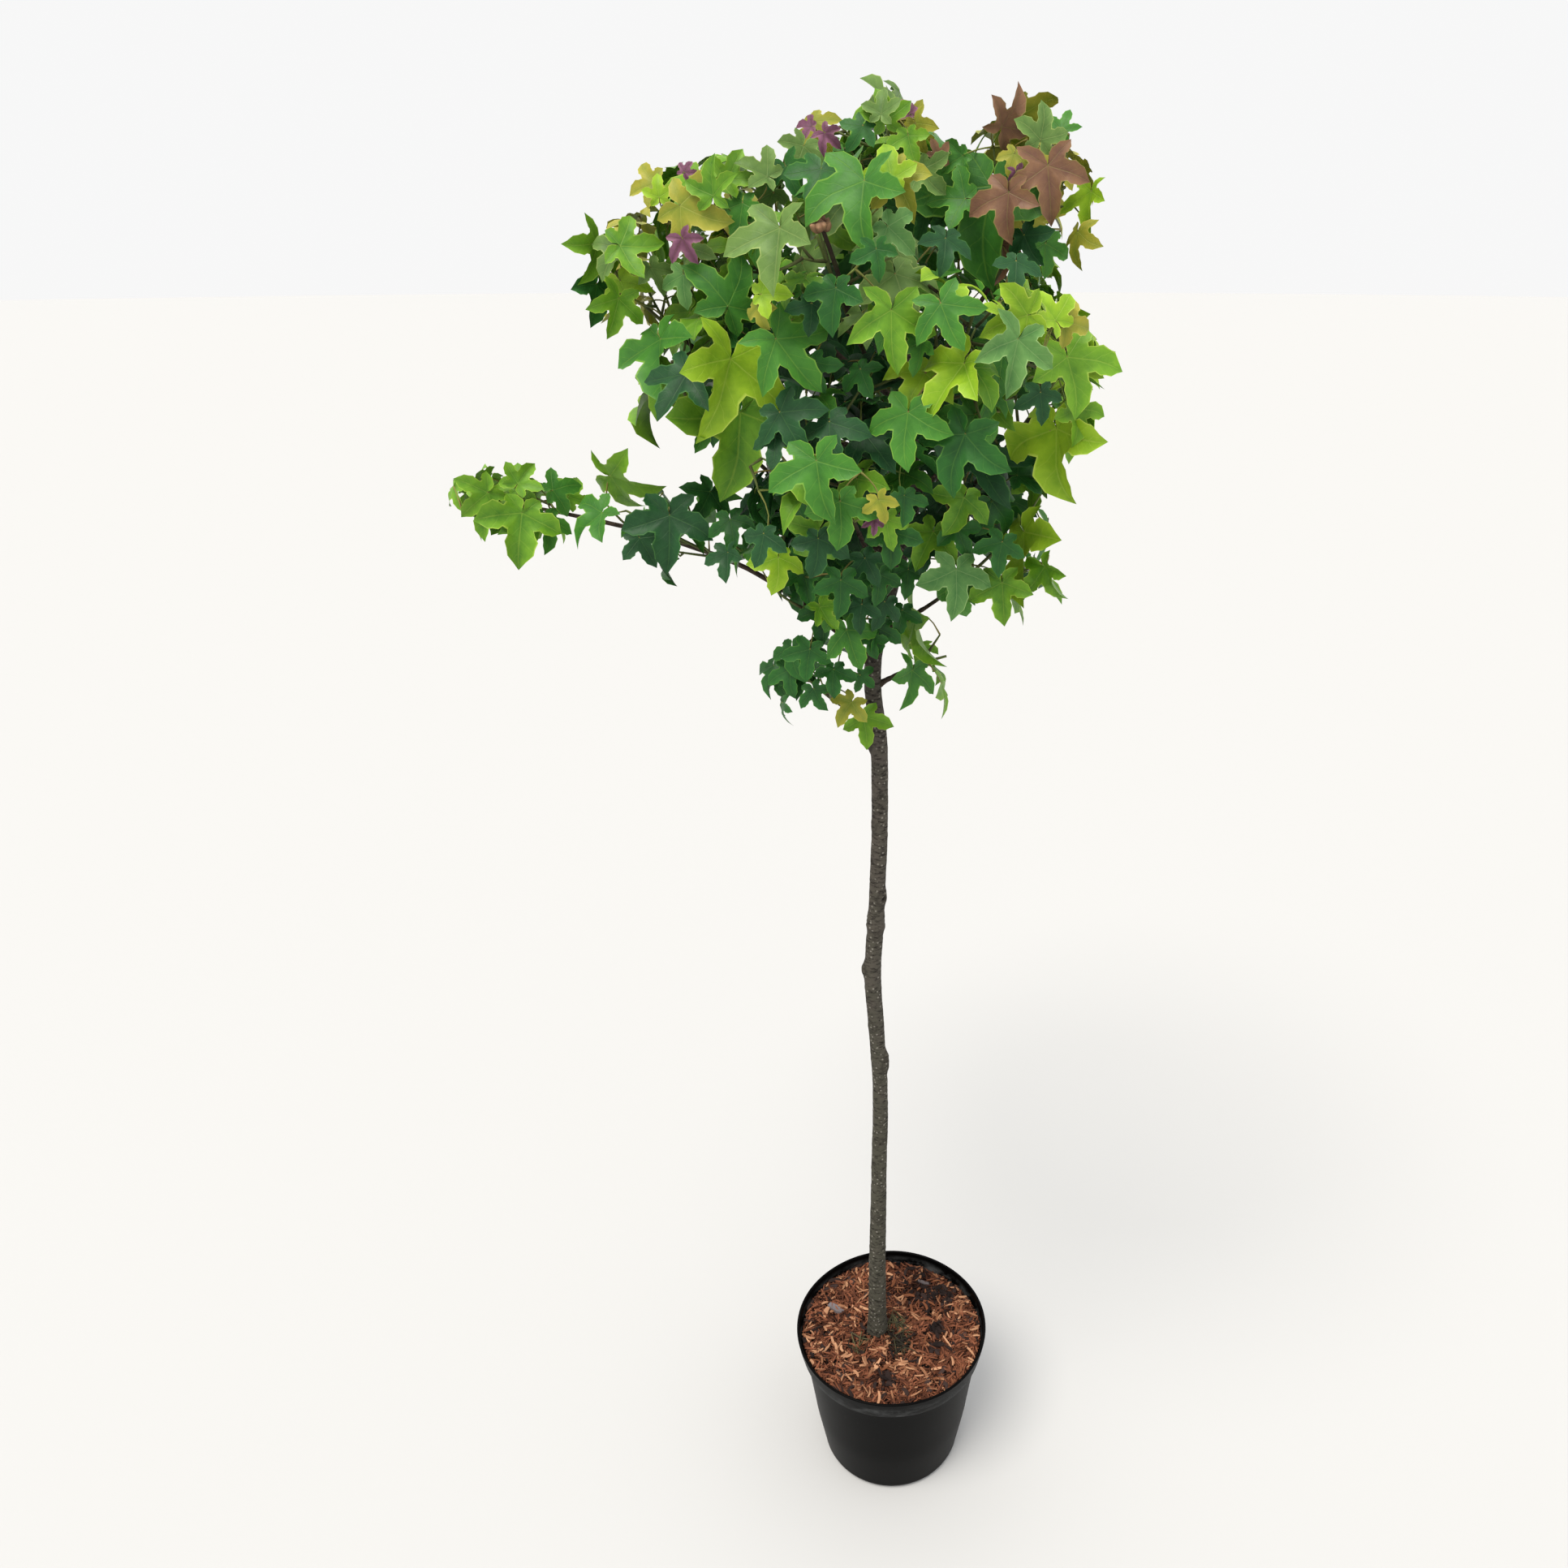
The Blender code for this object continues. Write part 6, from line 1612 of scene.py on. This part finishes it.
def bark_material(name):
    """Sweetgum bark, thin and corky: matt grey-brown, finely cracked across and pored; its knots have painted
    shade.
    """
    colours, crack_height = BARKS[name]
    material, add, shader = new_material(name, 0.85, 0.20)
    low, high, crack, pore = (linear(code) + (1.0,) for code in colours)
    place = add("TexCoord").outputs["Object"]
    cloud = add("TexNoise", {"Vector": place, "Scale": 55.0, "Detail": 6.0, "Roughness": 0.65})
    climb = add("SeparateXYZ", {0: place})
    upward = add("MapRange", {"Value": climb.outputs[2], "From Min": 0.60, "From Max": 1.30})
    patchy = add("Math", {0: cloud.outputs["Fac"], 1: 1.8, 2: -0.90}, operation="MULTIPLY_ADD")
    share = add("Math", {0: upward, 1: patchy}, operation="ADD", use_clamp=True)
    body = add("Mix", {0: share, 6: low, 7: high}, data_type="RGBA")
    # cracks a few millimetres high and two to three times as wide
    flat = add("Mapping", {"Vector": place, "Scale": (1.0, 1.0, 1.0 / crack_height)})
    fine = add("TexNoise", {"Vector": flat, "Scale": 110.0, "Detail": 4.0, "Roughness": 0.7})
    split = {"Value": fine.outputs["Fac"], "From Min": 0.50, "From Max": 0.36, "To Max": 0.88}
    cracks = add("MapRange", split)
    # the knot attribute is painted shade, dark in the knots' hollows and round them
    knot = add("Attribute", attribute_name="knot")
    dark = add("Math", {0: cracks, 1: knot.outputs["Fac"]}, operation="MAXIMUM")
    cracked = add("Mix", {0: dark, 6: body.outputs[2], 7: crack}, data_type="RGBA")
    # pale pores about 2 mm across
    dots = add("TexVoronoi", {"Vector": place, "Scale": 150.0, "Randomness": 1.0})
    spots = {"Value": dots.outputs["Distance"], "From Min": 0.25, "From Max": 0.12, "To Max": 0.70}
    pores = add("MapRange", spots)
    colour = add("Mix", {0: pores, 6: cracked.outputs[2], 7: pore}, data_type="RGBA")
    raised = add("Math", {0: pores, 1: cracks}, operation="SUBTRACT")
    bump = add("Bump", {"Height": raised, "Strength": 0.8, "Distance": 0.0007})
    feed(shader, {"Base Color": colour.outputs[2], "Normal": bump})
    return material


def shaded_material(name):
    """A finish of the table, made once: from one colour to the other along its attribute, with a mottle."""
    if name in bpy.data.materials:
        return bpy.data.materials[name]
    attribute, colours, roughness, scale = FINISHES[name]
    material, add, shader = new_material(name, roughness, 0.18)
    dark, light = (linear(code) + (1.0,) for code in colours)
    value = add("Attribute", attribute_name=attribute)
    place = add("TexCoord").outputs["Object"]
    mottle = add("TexNoise", {"Vector": place, "Scale": scale, "Detail": 4.0})
    spread = add("Math", {0: mottle.outputs["Fac"], 1: 0.9, 2: -0.45}, operation="MULTIPLY_ADD")
    share = add("Math", {0: value.outputs["Fac"], 1: spread}, operation="ADD", use_clamp=True)
    colour = add("Mix", {0: share, 6: dark, 7: light}, data_type="RGBA")
    bump = add("Bump", {"Height": mottle.outputs["Fac"], "Strength": 0.5, "Distance": 0.0006})
    feed(shader, {"Base Color": colour.outputs[2], "Normal": bump})
    return material


def pot_material(body_code, dust_code):
    """Black polypropylene, injection moulded, so it is nearly black with a dull shine.

    Grey dust lies in streaks on the band at the rim, and as specks all over.
    """
    material, add, shader = new_material("Moulded polypropylene, dusty", 0.50, 0.05)
    body, dust = linear(body_code) + (1.0,), linear(dust_code) + (1.0,)
    place = add("TexCoord").outputs["Object"]
    parts = add("SeparateXYZ", {0: place})
    band = POT_HEIGHT - POT_BAND_HEIGHT
    up = {"Value": parts.outputs[2], "From Min": band - 0.002, "From Max": band + 0.003}
    down = {"Value": parts.outputs[2], "From Min": POT_HEIGHT - 0.006, "From Max": band + 0.014}
    rise, fall = add("MapRange", up), add("MapRange", down)
    zone = add("Math", {0: rise, 1: fall}, operation="MULTIPLY")
    smear = add("Mapping", {"Vector": place, "Scale": (1.0, 1.0, 2.2)})
    scuff = add("TexNoise", {"Vector": smear, "Scale": 38.0, "Detail": 7.0, "Roughness": 0.72})
    spread = {"Value": scuff.outputs["Fac"], "From Min": 0.43, "From Max": 0.66, "To Max": 0.9}
    patch = add("MapRange", spread)
    rubbed = add("Math", {0: patch, 1: zone}, operation="MULTIPLY")
    # specks of dirt about 1 mm across
    speck = add("TexNoise", {"Vector": place, "Scale": 240.0, "Detail": 2.0})
    sparse = {"Value": speck.outputs["Fac"], "From Min": 0.72, "From Max": 0.78, "To Max": 0.30}
    specks = add("MapRange", sparse)
    total = add("Math", {0: rubbed, 1: specks}, operation="MAXIMUM")
    colour = add("Mix", {0: total, 6: body, 7: dust}, data_type="RGBA")
    rough = add("MapRange", {"Value": total, "To Min": 0.42, "To Max": 0.9})
    # the mould's grain, drawn 1 mm coarse so that it shows
    grain = add("TexNoise", {"Vector": place, "Scale": 900.0, "Detail": 1.0})
    bump = add("Bump", {"Height": grain.outputs["Fac"], "Strength": 0.15, "Distance": 0.0002})
    feed(shader, {"Base Color": colour.outputs[2], "Roughness": rough, "Normal": bump})
    return material


class SweetgumPotSettings(bpy.types.PropertyGroup):
    """The nursery pot's finish."""

    colour: bpy.props.StringProperty(
        name="Plastic", description="sRGB colour of the moulded wall", default="#030303"
    )
    dust: bpy.props.StringProperty(
        name="Dust", description="sRGB colour of the dust on the band", default="#4a4b4b"
    )


class SweetgumMulchSettings(bpy.types.PropertyGroup):
    """How much loose mulch lies on the bed."""

    fibres: bpy.props.IntProperty(name="Fibres", description="Thin bark fibres", default=3600, min=0)
    chips: bpy.props.IntProperty(name="Chips", description="Pale wood chips", default=320, min=0)
    dark_bits: bpy.props.IntProperty(
        name="Dark bits", description="Dark, damp bits of bark", default=200, min=0
    )


class SweetgumCrownSettings(bpy.types.PropertyGroup):
    """How full the crown is."""

    fullness: bpy.props.FloatProperty(
        name="Fullness",
        description="Leaves tried for each leaf of the solid model, of which those with room stay",
        default=4.2,
        min=0.5,
        max=6.0,
    )
    veins: bpy.props.FloatProperty(
        name="Veins",
        description="How plainly the veins show",
        default=0.24,
        min=0.0,
        max=1.0,
        subtype="FACTOR",
    )


class SweetgumStageSettings(bpy.types.PropertyGroup):
    """The studio round the tree."""

    floor_radius: bpy.props.FloatProperty(
        name="Floor radius", description="Radius of the pale floor", default=60.0, min=1.0, unit="LENGTH"
    )
    key: bpy.props.FloatProperty(
        name="Key light",
        description="Strength of the soft light from above, in watts per square metre",
        default=2.55,
    )
    sky: bpy.props.FloatProperty(
        name="Sky", description="Strength of the even light from all round", default=0.95
    )


class SWEETGUM_OT_pot(bpy.types.Operator):
    """Builds the nursery pot"""

    bl_idname = "sweetgum.pot"
    bl_label = "Pot"

    def execute(self, context):
        settings = context.scene.sweetgum_pot
        build_pot(pot_material(settings.colour, settings.dust))
        return {"FINISHED"}


class SWEETGUM_OT_mulch(bpy.types.Operator):
    """Fills the pot with bark mulch"""

    bl_idname = "sweetgum.mulch"
    bl_label = "Mulch"

    def execute(self, context):
        settings = context.scene.sweetgum_mulch
        build_mulch_bed(shaded_material("Bark mulch, damp"))
        # piece, finish, number, length, width, lift above the bed, tilt in radians, and any heaps it lies in
        loose = (
            ("fibres", "Bark fibre", settings.fibres,
             (0.009, 0.030), (0.0010, 0.0030), (0.0002, 0.0045), 0.17),
            ("chips", "Fresh wood chip", settings.chips,
             (0.008, 0.022), (0.0020, 0.0042), (0.003, 0.006), 0.22),
            ("dark_bits", "Damp bark", settings.dark_bits,
             (0.006, 0.018), (0.003, 0.007), (0.002, 0.005), 0.2),
            ("dark_heaps", "Damp bark", 100,
             (0.006, 0.018), (0.003, 0.008), (0.003, 0.006), 0.25, DAMP_PLACES),
            ("green_fibres", "Green-brown fibre", 90,
             (0.014, 0.032), (0.0010, 0.0020), (0.004, 0.008), 0.2, FIBRE_HEAPS),
        )
        for seed, (name, finish, *rest) in enumerate(loose, 21):
            scatter_slivers("mulch_" + name, shaded_material(finish), seed, *rest)
        lay_bits("mulch_pale_chips", shaded_material("Fresh wood chip"), PALE_CHIPS)
        lay_bits("mulch_grey_scraps", shaded_material("Dry grey leaf scrap"), GREY_SCRAPS)
        return {"FINISHED"}


class SWEETGUM_OT_trunk(bpy.types.Operator):
    """Builds the trunk and the boughs with the bark's relief"""

    bl_idname = "sweetgum.trunk"
    bl_label = "Trunk and boughs"

    def execute(self, context):
        build_trunk(bark_material("Sweetgum bark"))
        build_boughs(bark_material("Young sweetgum bark"))
        return {"FINISHED"}


class SWEETGUM_OT_foliage(bpy.types.Operator):
    """Grows the twigs and hangs the leaves"""

    bl_idname = "sweetgum.foliage"
    bl_label = "Twigs and leaves"

    def execute(self, context):
        settings = context.scene.sweetgum_crown
        leaves = {
            name: leaf_material("Sweetgum leaf, " + name, codes, settings.veins)
            for name, codes in TINTS.items()
        }
        stalk, twig = shaded_material("Leaf stalk"), shaded_material("Green and brown twig")
        build_foliage(settings.fullness, leaves, stalk, twig)
        return {"FINISHED"}


class SWEETGUM_OT_buds(bpy.types.Operator):
    """Adds the bud cluster on its bare shoot"""

    bl_idname = "sweetgum.buds"
    bl_label = "Buds"

    def execute(self, context):
        build_buds(shaded_material("Bud scales"))
        return {"FINISHED"}


class SWEETGUM_OT_stage(bpy.types.Operator):
    """Sets the camera, the soft light and the pale floor"""

    bl_idname = "sweetgum.stage"
    bl_label = "Stage"

    def execute(self, context):
        settings = context.scene.sweetgum_stage
        camera_data = bpy.data.cameras.new("camera")
        camera_data.sensor_width = SENSOR
        camera_data.lens = CAMERA_FOCUS / FRAME_WIDTH * SENSOR
        camera_data.shift_x = (0.5 * FRAME_WIDTH - CAMERA_AXIS_COLUMN) / FRAME_WIDTH
        camera_data.clip_end = 200.0
        camera = bpy.data.objects.new("camera", camera_data)
        camera.location = CAMERA_PLACE
        camera.rotation_euler = (math.radians(CAMERA_TILT), 0.0, 0.0)
        context.scene.collection.objects.link(camera)
        context.scene.camera = camera
        context.scene.view_settings.view_transform = "Standard"
        angles = np.linspace(0.0, 2.0 * np.pi, FLOOR_SIDES, endpoint=False)
        rim = np.stack((np.cos(angles), np.sin(angles), np.zeros(FLOOR_SIDES)), axis=-1)
        rim = rim * settings.floor_radius
        mesh = bpy.data.meshes.new("floor")
        mesh.from_pydata(rim.tolist(), [], [tuple(range(FLOOR_SIDES))])
        floor = bpy.data.objects.new("floor", mesh)
        context.scene.collection.objects.link(floor)
        # smooth painted board, so pale, even and without a shine
        material, _, shader = new_material("Studio floor", 0.9, 0.1)
        feed(shader, {"Base Color": (*linear(FLOOR_COLOUR), 1.0)})
        mesh.materials.append(material)
        world = bpy.data.worlds.new("studio")
        world.use_nodes = True
        background = world.node_tree.nodes["Background"]
        feed(background, {"Color": (*linear(SKY_COLOUR), 1.0), "Strength": settings.sky})
        context.scene.world = world
        for name, toward, share, spread, code in SUNS:
            light = bpy.data.lights.new(name, "SUN")
            light.energy = settings.key * share
            light.angle = math.radians(spread)
            light.color = linear(code)
            obj = bpy.data.objects.new(name, light)
            obj.location = toward
            level = math.hypot(toward[0], toward[1])
            obj.rotation_euler = (math.atan2(level, toward[2]), 0.0, math.atan2(toward[0], -toward[1]))
            context.scene.collection.objects.link(obj)
        return {"FINISHED"}


class SWEETGUM_PT_panel(bpy.types.Panel):
    """The tree's settings and its pieces"""

    bl_idname = "SWEETGUM_PT_panel"
    bl_label = "Sweetgum"
    bl_space_type = "VIEW_3D"
    bl_region_type = "UI"
    bl_category = "Sweetgum"

    def draw(self, context):
        """Lists every setting in its group's box, then a button for each piece."""
        layout = self.layout
        for key, group in SETTINGS.items():
            box = layout.box()
            for name in group.__annotations__:
                box.prop(getattr(context.scene, key), name)
        for operator in OPERATORS:
            layout.operator(operator.bl_idname)


SETTINGS = {
    "sweetgum_pot": SweetgumPotSettings,
    "sweetgum_mulch": SweetgumMulchSettings,
    "sweetgum_crown": SweetgumCrownSettings,
    "sweetgum_stage": SweetgumStageSettings,
}
OPERATORS = (
    SWEETGUM_OT_stage,
    SWEETGUM_OT_pot,
    SWEETGUM_OT_mulch,
    SWEETGUM_OT_trunk,
    SWEETGUM_OT_foliage,
    SWEETGUM_OT_buds,
)
CLASSES = (*SETTINGS.values(), *OPERATORS, SWEETGUM_PT_panel)


def register():
    """Registers the classes, and gives each scene its settings."""
    for cls in CLASSES:
        bpy.utils.register_class(cls)
    for key, group in SETTINGS.items():
        setattr(bpy.types.Scene, key, bpy.props.PointerProperty(type=group))


def unregister():
    """Takes the settings and the classes away again."""
    for key in SETTINGS:
        delattr(bpy.types.Scene, key)
    for cls in reversed(CLASSES):
        bpy.utils.unregister_class(cls)


def main():
    register()
    for operator in OPERATORS:
        group, name = operator.bl_idname.split(".")
        getattr(getattr(bpy.ops, group), name)()
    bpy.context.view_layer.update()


if __name__ == "__main__":
    main()
